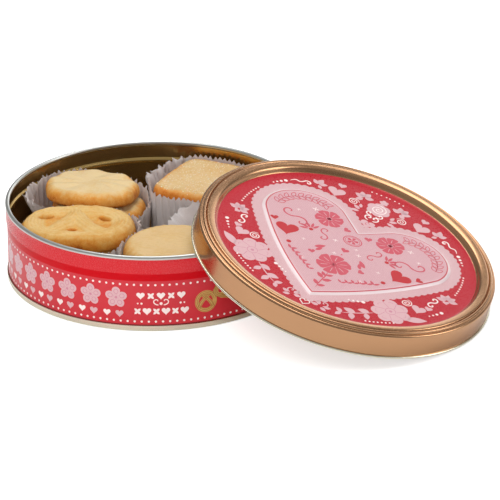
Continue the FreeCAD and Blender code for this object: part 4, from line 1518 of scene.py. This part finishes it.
def sprinkle_sugar(biscuit, count=620):
    """Loose box-shaped grains on the top sugared biscuit, clear of its edge."""
    biscuit_verts, flat, place = biscuit
    rng = random.Random(7)
    edge = rounded_rect(23.1, 18.4, 8.8, 90)[0]
    spots = np.flatnonzero(dist_poly(flat, edge) > 1.2).tolist()
    corners = ((-1, -1, -1), (1, -1, -1), (1, 1, -1), (-1, 1, -1),
               (-1, -1, 1), (1, -1, 1), (1, 1, 1), (-1, 1, 1))
    sides = ((0, 3, 2, 1), (4, 5, 6, 7), (0, 1, 5, 4), (1, 2, 6, 5), (2, 3, 7, 6), (3, 0, 4, 7))
    verts, faces = [], []
    for _ in range(count):
        x, y, z = biscuit_verts[rng.choice(spots)]
        size = 0.09 + 0.15 * rng.random() ** 2
        angle = rng.random() * 6.28
        axis = Vector([rng.random() - 0.5 for _ in range(3)]).normalized()
        spin = Matrix.Rotation(angle, 3, axis)
        first = len(verts)
        for dx, dy, dz in corners:
            w = spin @ Vector((dx * size * (0.8 + 0.4 * rng.random()), dy * size * 0.9,
                               dz * size * 0.75))
            verts.append((x + w.x, y + w.y, z + size * 0.35 + w.z))
        faces += [tuple(first + j for j in side) for side in sides]
    add_mesh("sugar_grains", verts, faces, [sugar_material()], "sugared_biscuit",
             body="sugar_cookie_4", place=place, smooth=False)


sprinkle_sugar(last_baked)


# =============================================================== paper cups
def paper_material():
    mat = Material("glassine_paper")
    fine = mat.noise(scale=1.6, detail=5.0, rough=0.65)
    broad = mat.noise(scale=0.10, detail=3.0)
    fibres = mat.noise(scale=2.5, detail=3.0, vector=mat.scaled((1.0, 1.0, 0.15)))
    colour = mat.mix(mat.remap(broad, span=(0.3, 0.7), to=(0.0, 0.8)),
                     lin(212, 205, 204), lin(196, 188, 187))
    colour = mat.mix(mat.remap(fine, span=(0.4, 0.7), to=(0.0, 0.35)), colour, lin(190, 180, 178))
    height = mat.math("ADD", mat.math("MULTIPLY", fine, 0.5), fibres)
    mat.principled(Base_Color=colour,
                   Roughness=mat.remap(fine, span=(0.3, 0.7), to=(0.42, 0.6)),
                   Specular_IOR_Level=0.35, Subsurface_Weight=0.35, Subsurface_Scale=0.0004,
                   Subsurface_Radius=(1.0, 0.9, 0.85),
                   Normal=mat.bump(height, distance=0.10 * MM, strength=0.5))
    return mat


PAPER = paper_material()
CUP_FLOOR = 1.98
PAPER_THICK = 0.13
FLOOR_THICK = 0.14
PLEAT_DEPTH = 2.1               # the most a pleat stands out from the cup's outline
PLEAT_PITCH, PLEAT_STEPS = 3.7, 12
EDGE_ZIGZAG_PITCH = 2.7
CUP_ROWS = (0.0, 0.02, 0.05, 0.1, 0.2, 0.3, 0.4, 0.5, 0.6, 0.7, 0.8, 0.88, 0.95, 1.0)

# half: half sizes and corner radius. tops: height of the edge where the wall faces right, then
# every 45 degrees counter-clockwise. A leaning cup spreads up to spread towards the angle
# way, where the cosine passes start, and droops by a share of its lean.
CUPS = {
    "cup_back_left": dict(
        centre=(-31.0, 28.4), half=(27.5, 21.8, 21.6), yaw=BACK_LEFT_YAW, own_body=True,
        tops=(25.5, 30.0, 31.4, 32.0, 33.0, 31.5, 27.2, 22.5),
        spread=12.0, way=205, start=0.55),
    "cup_front_left": dict(
        centre=(-37.3, -18.0), half=(29.4, 22.4, 22.2), own_body=True,
        tops=(31.2, 31.0, 31.2, 30.5, 26.0, 24.5, 24.5, 28.6)),
    "cup_front": dict(
        centre=(10.0, -45.2), half=(25.6, 25.6, 25.6),
        tops=(31.0, 31.0, 31.2, 31.8, 31.4, 29.0, 24.5, 25.5)),
    "cup_right": dict(
        centre=(47.5, -8.0), half=(23.8, 23.8, 23.8),
        tops=(32.0, 32.0, 32.0, 34.0, 33.4, 29.4, 31.0, 32.0),
        spread=21.0, way=185, start=0.35, droop=0.34),
    "cup_back_right": dict(
        centre=(22.3, 40.2), half=(24.3, 19.5, 9.8), yaw=BACK_RIGHT_YAW, own_body=True,
        tops=(31.6, 32.4, 32.4, 32.2, 32.6, 30.8, 29.0, 29.5),
        spread=9.0, way=165, start=0.35, droop=0.18),
}


def cup_outline(centre, half, yaw=0.0, **_):
    """Foot outline and normals, with a whole number of pleats."""
    half_x, half_y, corner = half
    length = 2 * pi * corner + 4 * (half_x - corner) + 4 * (half_y - corner)
    pleats = int(round(length / PLEAT_PITCH))
    points, normals = rounded_rect(half_x, half_y, corner, pleats * PLEAT_STEPS)
    a = math.radians(yaw)
    turn = np.array([[math.cos(a), -math.sin(a)], [math.sin(a), math.cos(a)]])
    return points @ turn.T + np.array(centre), normals @ turn.T


OUTLINES = {name: cup_outline(**cup) for name, cup in CUPS.items()}


def loop_average(values, count):
    """Moving average round a closed loop."""
    half = count // 2
    return np.convolve(np.concatenate([values[-half:], values, values[:half]]),
                       np.ones(count) / count, "valid")


def loop_noise(count, radius, z):
    """Noise sampled round a circle, so that it closes."""
    angles = [i / count * 2 * pi for i in range(count)]
    return np.array([noise.noise(Vector((math.cos(a) * radius, math.sin(a) * radius, z)))
                     for a in angles])


def free_room(name, spread, reach):
    """Room outwards at each point, up to spread, before the tin or a neighbouring cup."""
    points, normals = OUTLINES[name]
    room = np.full(len(points), spread)
    for s in np.arange(0.0, spread, 0.1 if spread < 3 else 0.25):
        q = points + normals * s
        blocked = np.hypot(q[:, 0], q[:, 1]) > reach
        clearance = (s if s < PLEAT_DEPTH else 2.4) + 0.12
        for other, (outline, _) in OUTLINES.items():
            if other != name:
                blocked |= ((dist_poly(q, outline[::3]) < clearance)
                            | inside_poly(q, outline))
        room = np.where(blocked & (room > s), s, room)
    return np.minimum(room, loop_average(room, 9))


def build_cup(name, centre, tops, spread=PLEAT_DEPTH, way=0, start=0.5, droop=0.0,
              own_body=False, **_):
    points, normals = OUTLINES[name]
    count = len(points)
    room = free_room(name, spread, reach=70.7 if own_body else 71.6)
    index = np.arange(count)
    seed = len(name) * 1.7
    slow = loop_noise(count, 4, seed)
    quick = loop_noise(count, 13, seed + 5)
    pleat = (2 * np.abs((index / PLEAT_STEPS + 0.35 * slow) % 1.0 - 0.5)) ** 1.15
    length = np.linalg.norm(np.roll(points, -1, 0) - points, axis=1).sum()
    zigzags = int(round(length / EDGE_ZIGZAG_PITCH))
    zigzag = 2 * np.abs((index / count * zigzags) % 1.0 - 0.5)
    facing = np.arctan2(normals[:, 1], normals[:, 0])
    edge = np.interp((np.degrees(facing) % 360) / 45.0, np.arange(9), tops + tops[:1])
    edge = loop_average(edge, 25) + 1.7 * (zigzag - 0.5) + 1.2 * slow + 0.5 * quick
    edge = np.minimum(edge, 37.0)
    lean = np.maximum(room - PLEAT_DEPTH, 0.0)
    lean = lean * smooth01((np.cos(facing - math.radians(way)) - start) / 0.4)
    lean = loop_average(lean, 21)

    outer, inner = [], []
    for t in CUP_ROWS:
        z = CUP_FLOOR + (edge - CUP_FLOOR) * t - droop * lean * t ** 3
        depth = np.minimum(np.minimum(room, PLEAT_DEPTH), 0.35 + 1.35 * t)
        wave = np.array([noise.noise(Vector((points[i, 0] * 0.16, points[i, 1] * 0.16,
                                             z[i] * 0.12 + seed))) for i in index])
        out = pleat * depth * (0.35 + 0.65 * t) + 0.25 * wave * np.minimum(room, 1.0)
        out = out * smooth01(t / 0.10) - 0.05
        out = out + lean * t ** 1.5 * (0.88 + 0.12 * wave)
        crumple = np.array([noise.noise(Vector((points[i, 0] * 0.30 + out[i] * 0.3,
                                                points[i, 1] * 0.30,
                                                z[i] * 0.28 + seed + 9))) for i in index])
        out = out + crumple * np.minimum(lean, 3.0) * 0.55 * t
        out = np.clip(out, -0.06, np.maximum(room - 0.02, 0.0))
        # the foot is tucked in
        out = out - 0.8 * (1 - smooth01(t / 0.05))
        outer.append(np.column_stack([points + normals * out[:, None], z]))
        inner.append(np.column_stack([points + normals * (out - PAPER_THICK)[:, None],
                                      z + (0.0 if t > 0 else FLOOR_THICK)]))
    middle = np.array(centre)
    foot = points - normals * 0.85
    under, upper = [], []
    for share in (0.9, 0.6, 0.3):
        ring = middle + (foot - middle) * share
        under.append(np.column_stack([ring, np.full(count, CUP_FLOOR)]))
        upper.append(np.column_stack([ring, np.full(count, CUP_FLOOR + FLOOR_THICK)]))
    loops = under[::-1] + outer + inner[::-1] + upper
    ends = [[*centre, CUP_FLOOR], [*centre, CUP_FLOOR + FLOOR_THICK]]
    around = loop_edges(range(count))
    faces = [(j * count + i, j * count + k, (j + 1) * count + k, (j + 1) * count + i)
             for j in range(len(loops) - 1) for i, k in around]
    under_centre = len(loops) * count
    last = under_centre - count
    for i, k in around:
        faces.append((under_centre, k, i))
        faces.append((under_centre + 1, last + i, last + k))
    add_mesh(name + "_paper", np.vstack(loops + [ends]), faces, [PAPER], "cup_paper", sharp=48,
             body=name if own_body else "root", replaces=name)


for name, cup in CUPS.items():
    build_cup(name, **cup)


# ================================================== studio, floor and camera
def area_light(name, place, target, size, power, colour=(1, 1, 1)):
    data = bpy.data.lights.new(name, "AREA")
    data.energy = power
    data.color = colour
    data.size = size
    light = bpy.data.objects.new(name, data)
    bpy.context.scene.collection.objects.link(light)
    light.location = place
    light.rotation_euler = (Vector(target) - Vector(place)).to_track_quat("-Z", "Y").to_euler()
    return light


def build_world():
    """Grey-white surround, darkest a little above its lowest point."""
    world = bpy.data.worlds.new("studio")
    bpy.context.scene.world = world
    world.use_nodes = True
    tree = world.node_tree
    tree.nodes.clear()
    output, background, coordinates, split, ramp = (
        tree.nodes.new("ShaderNode" + kind)
        for kind in ("OutputWorld", "Background", "TexCoord", "SeparateXYZ", "ValToRGB"))
    # position up the surround, and its grey
    greys = ((0.0, 0.80), (0.30, 0.42), (0.62, 0.85), (1.0, 1.0))
    fill_ramp(ramp, [(position, (grey, grey, grey, 1)) for position, grey in greys])
    background.inputs["Strength"].default_value = 0.46
    tree.links.new(coordinates.outputs["Generated"], split.inputs[0])
    tree.links.new(split.outputs["Z"], ramp.inputs[0])
    tree.links.new(ramp.outputs[0], background.inputs["Color"])
    tree.links.new(background.outputs[0], output.inputs["Surface"])


def build_lights():
    key = area_light("key", place=(-0.35, -0.55, 0.85), target=(0.03, 0, 0.02), size=0.60,
                     power=4.3, colour=(1.0, 0.985, 0.96))
    front = area_light("front", place=(-0.10, -1.30, 0.42), target=(0.0, 0, 0.03), size=0.70,
                       power=5.0, colour=(1.0, 0.99, 0.97))
    area_light("top", place=(0.10, 0.35, 0.95), target=(0.03, 0, 0.02), size=0.70, power=4.2)
    area_light("right", place=(0.95, -0.10, 0.45), target=(0.05, 0, 0.02), size=0.45, power=2.0)
    # a soft panel behind the tin, seen only as sheen; key and front give no reflections
    back = area_light("back", place=(0.476, 0.957, 0.238), target=(0.09, -0.05, 0.03), size=0.80,
                      power=2.5)
    back.visible_diffuse = False
    key.visible_glossy = False
    front.visible_glossy = False


def build_floor(half=6.0, z=-0.0002):
    mat = Material("floor_white", by_object=True)
    grain = mat.noise(scale=60.0, detail=2.0)
    # the floor glows to the camera alone, so it looks brighter than it lights the tin
    seen = mat.node("LightPath").outputs["Is Camera Ray"]
    mat.principled(Base_Color=mat.mix(grain, (0.92, 0.92, 0.92, 1), (0.94, 0.94, 0.94, 1)),
                   Roughness=0.9, Emission_Color=(1, 1, 1, 1),
                   Emission_Strength=mat.math("MULTIPLY", seen, 0.60),
                   Normal=mat.bump(grain, distance=0.00002, strength=0.2))
    mesh = bpy.data.meshes.new("floor")
    mesh.from_pydata([(-half, -half, z), (half, -half, z), (half, half, z), (-half, half, z)],
                     [], [(0, 1, 2, 3)])
    mesh.materials.append(mat.block)
    floor = bpy.data.objects.new("floor", mesh)
    bpy.context.scene.collection.objects.link(floor)


def build_camera():
    pitch, roll = 0.41384, -0.00829             # radians: down from level, and about the view
    place = (0.04652676, -2.02273006, 0.8983785)
    forward = np.array([0, math.cos(pitch), -math.sin(pitch)])
    level = np.array([1.0, 0, 0])
    upward = np.cross(level, forward)
    right = math.cos(roll) * level + math.sin(roll) * upward
    up = -math.sin(roll) * level + math.cos(roll) * upward
    data = bpy.data.cameras.new("camera")
    camera = bpy.data.objects.new("camera", data)
    bpy.context.scene.collection.objects.link(camera)
    data.sensor_width = 36.0
    data.lens = 322.34688
    data.clip_start = 0.05
    data.clip_end = 50.0
    rows = [(right[i], up[i], -forward[i], place[i]) for i in range(3)]
    camera.matrix_world = Matrix((*rows, (0, 0, 0, 1)))
    bpy.context.scene.camera = camera


build_world()
build_lights()
build_floor()
build_camera()

view = bpy.context.scene.view_settings
view.view_transform = "Standard"
view.look = "None"
view.exposure = 0.0
view.gamma = 1.0
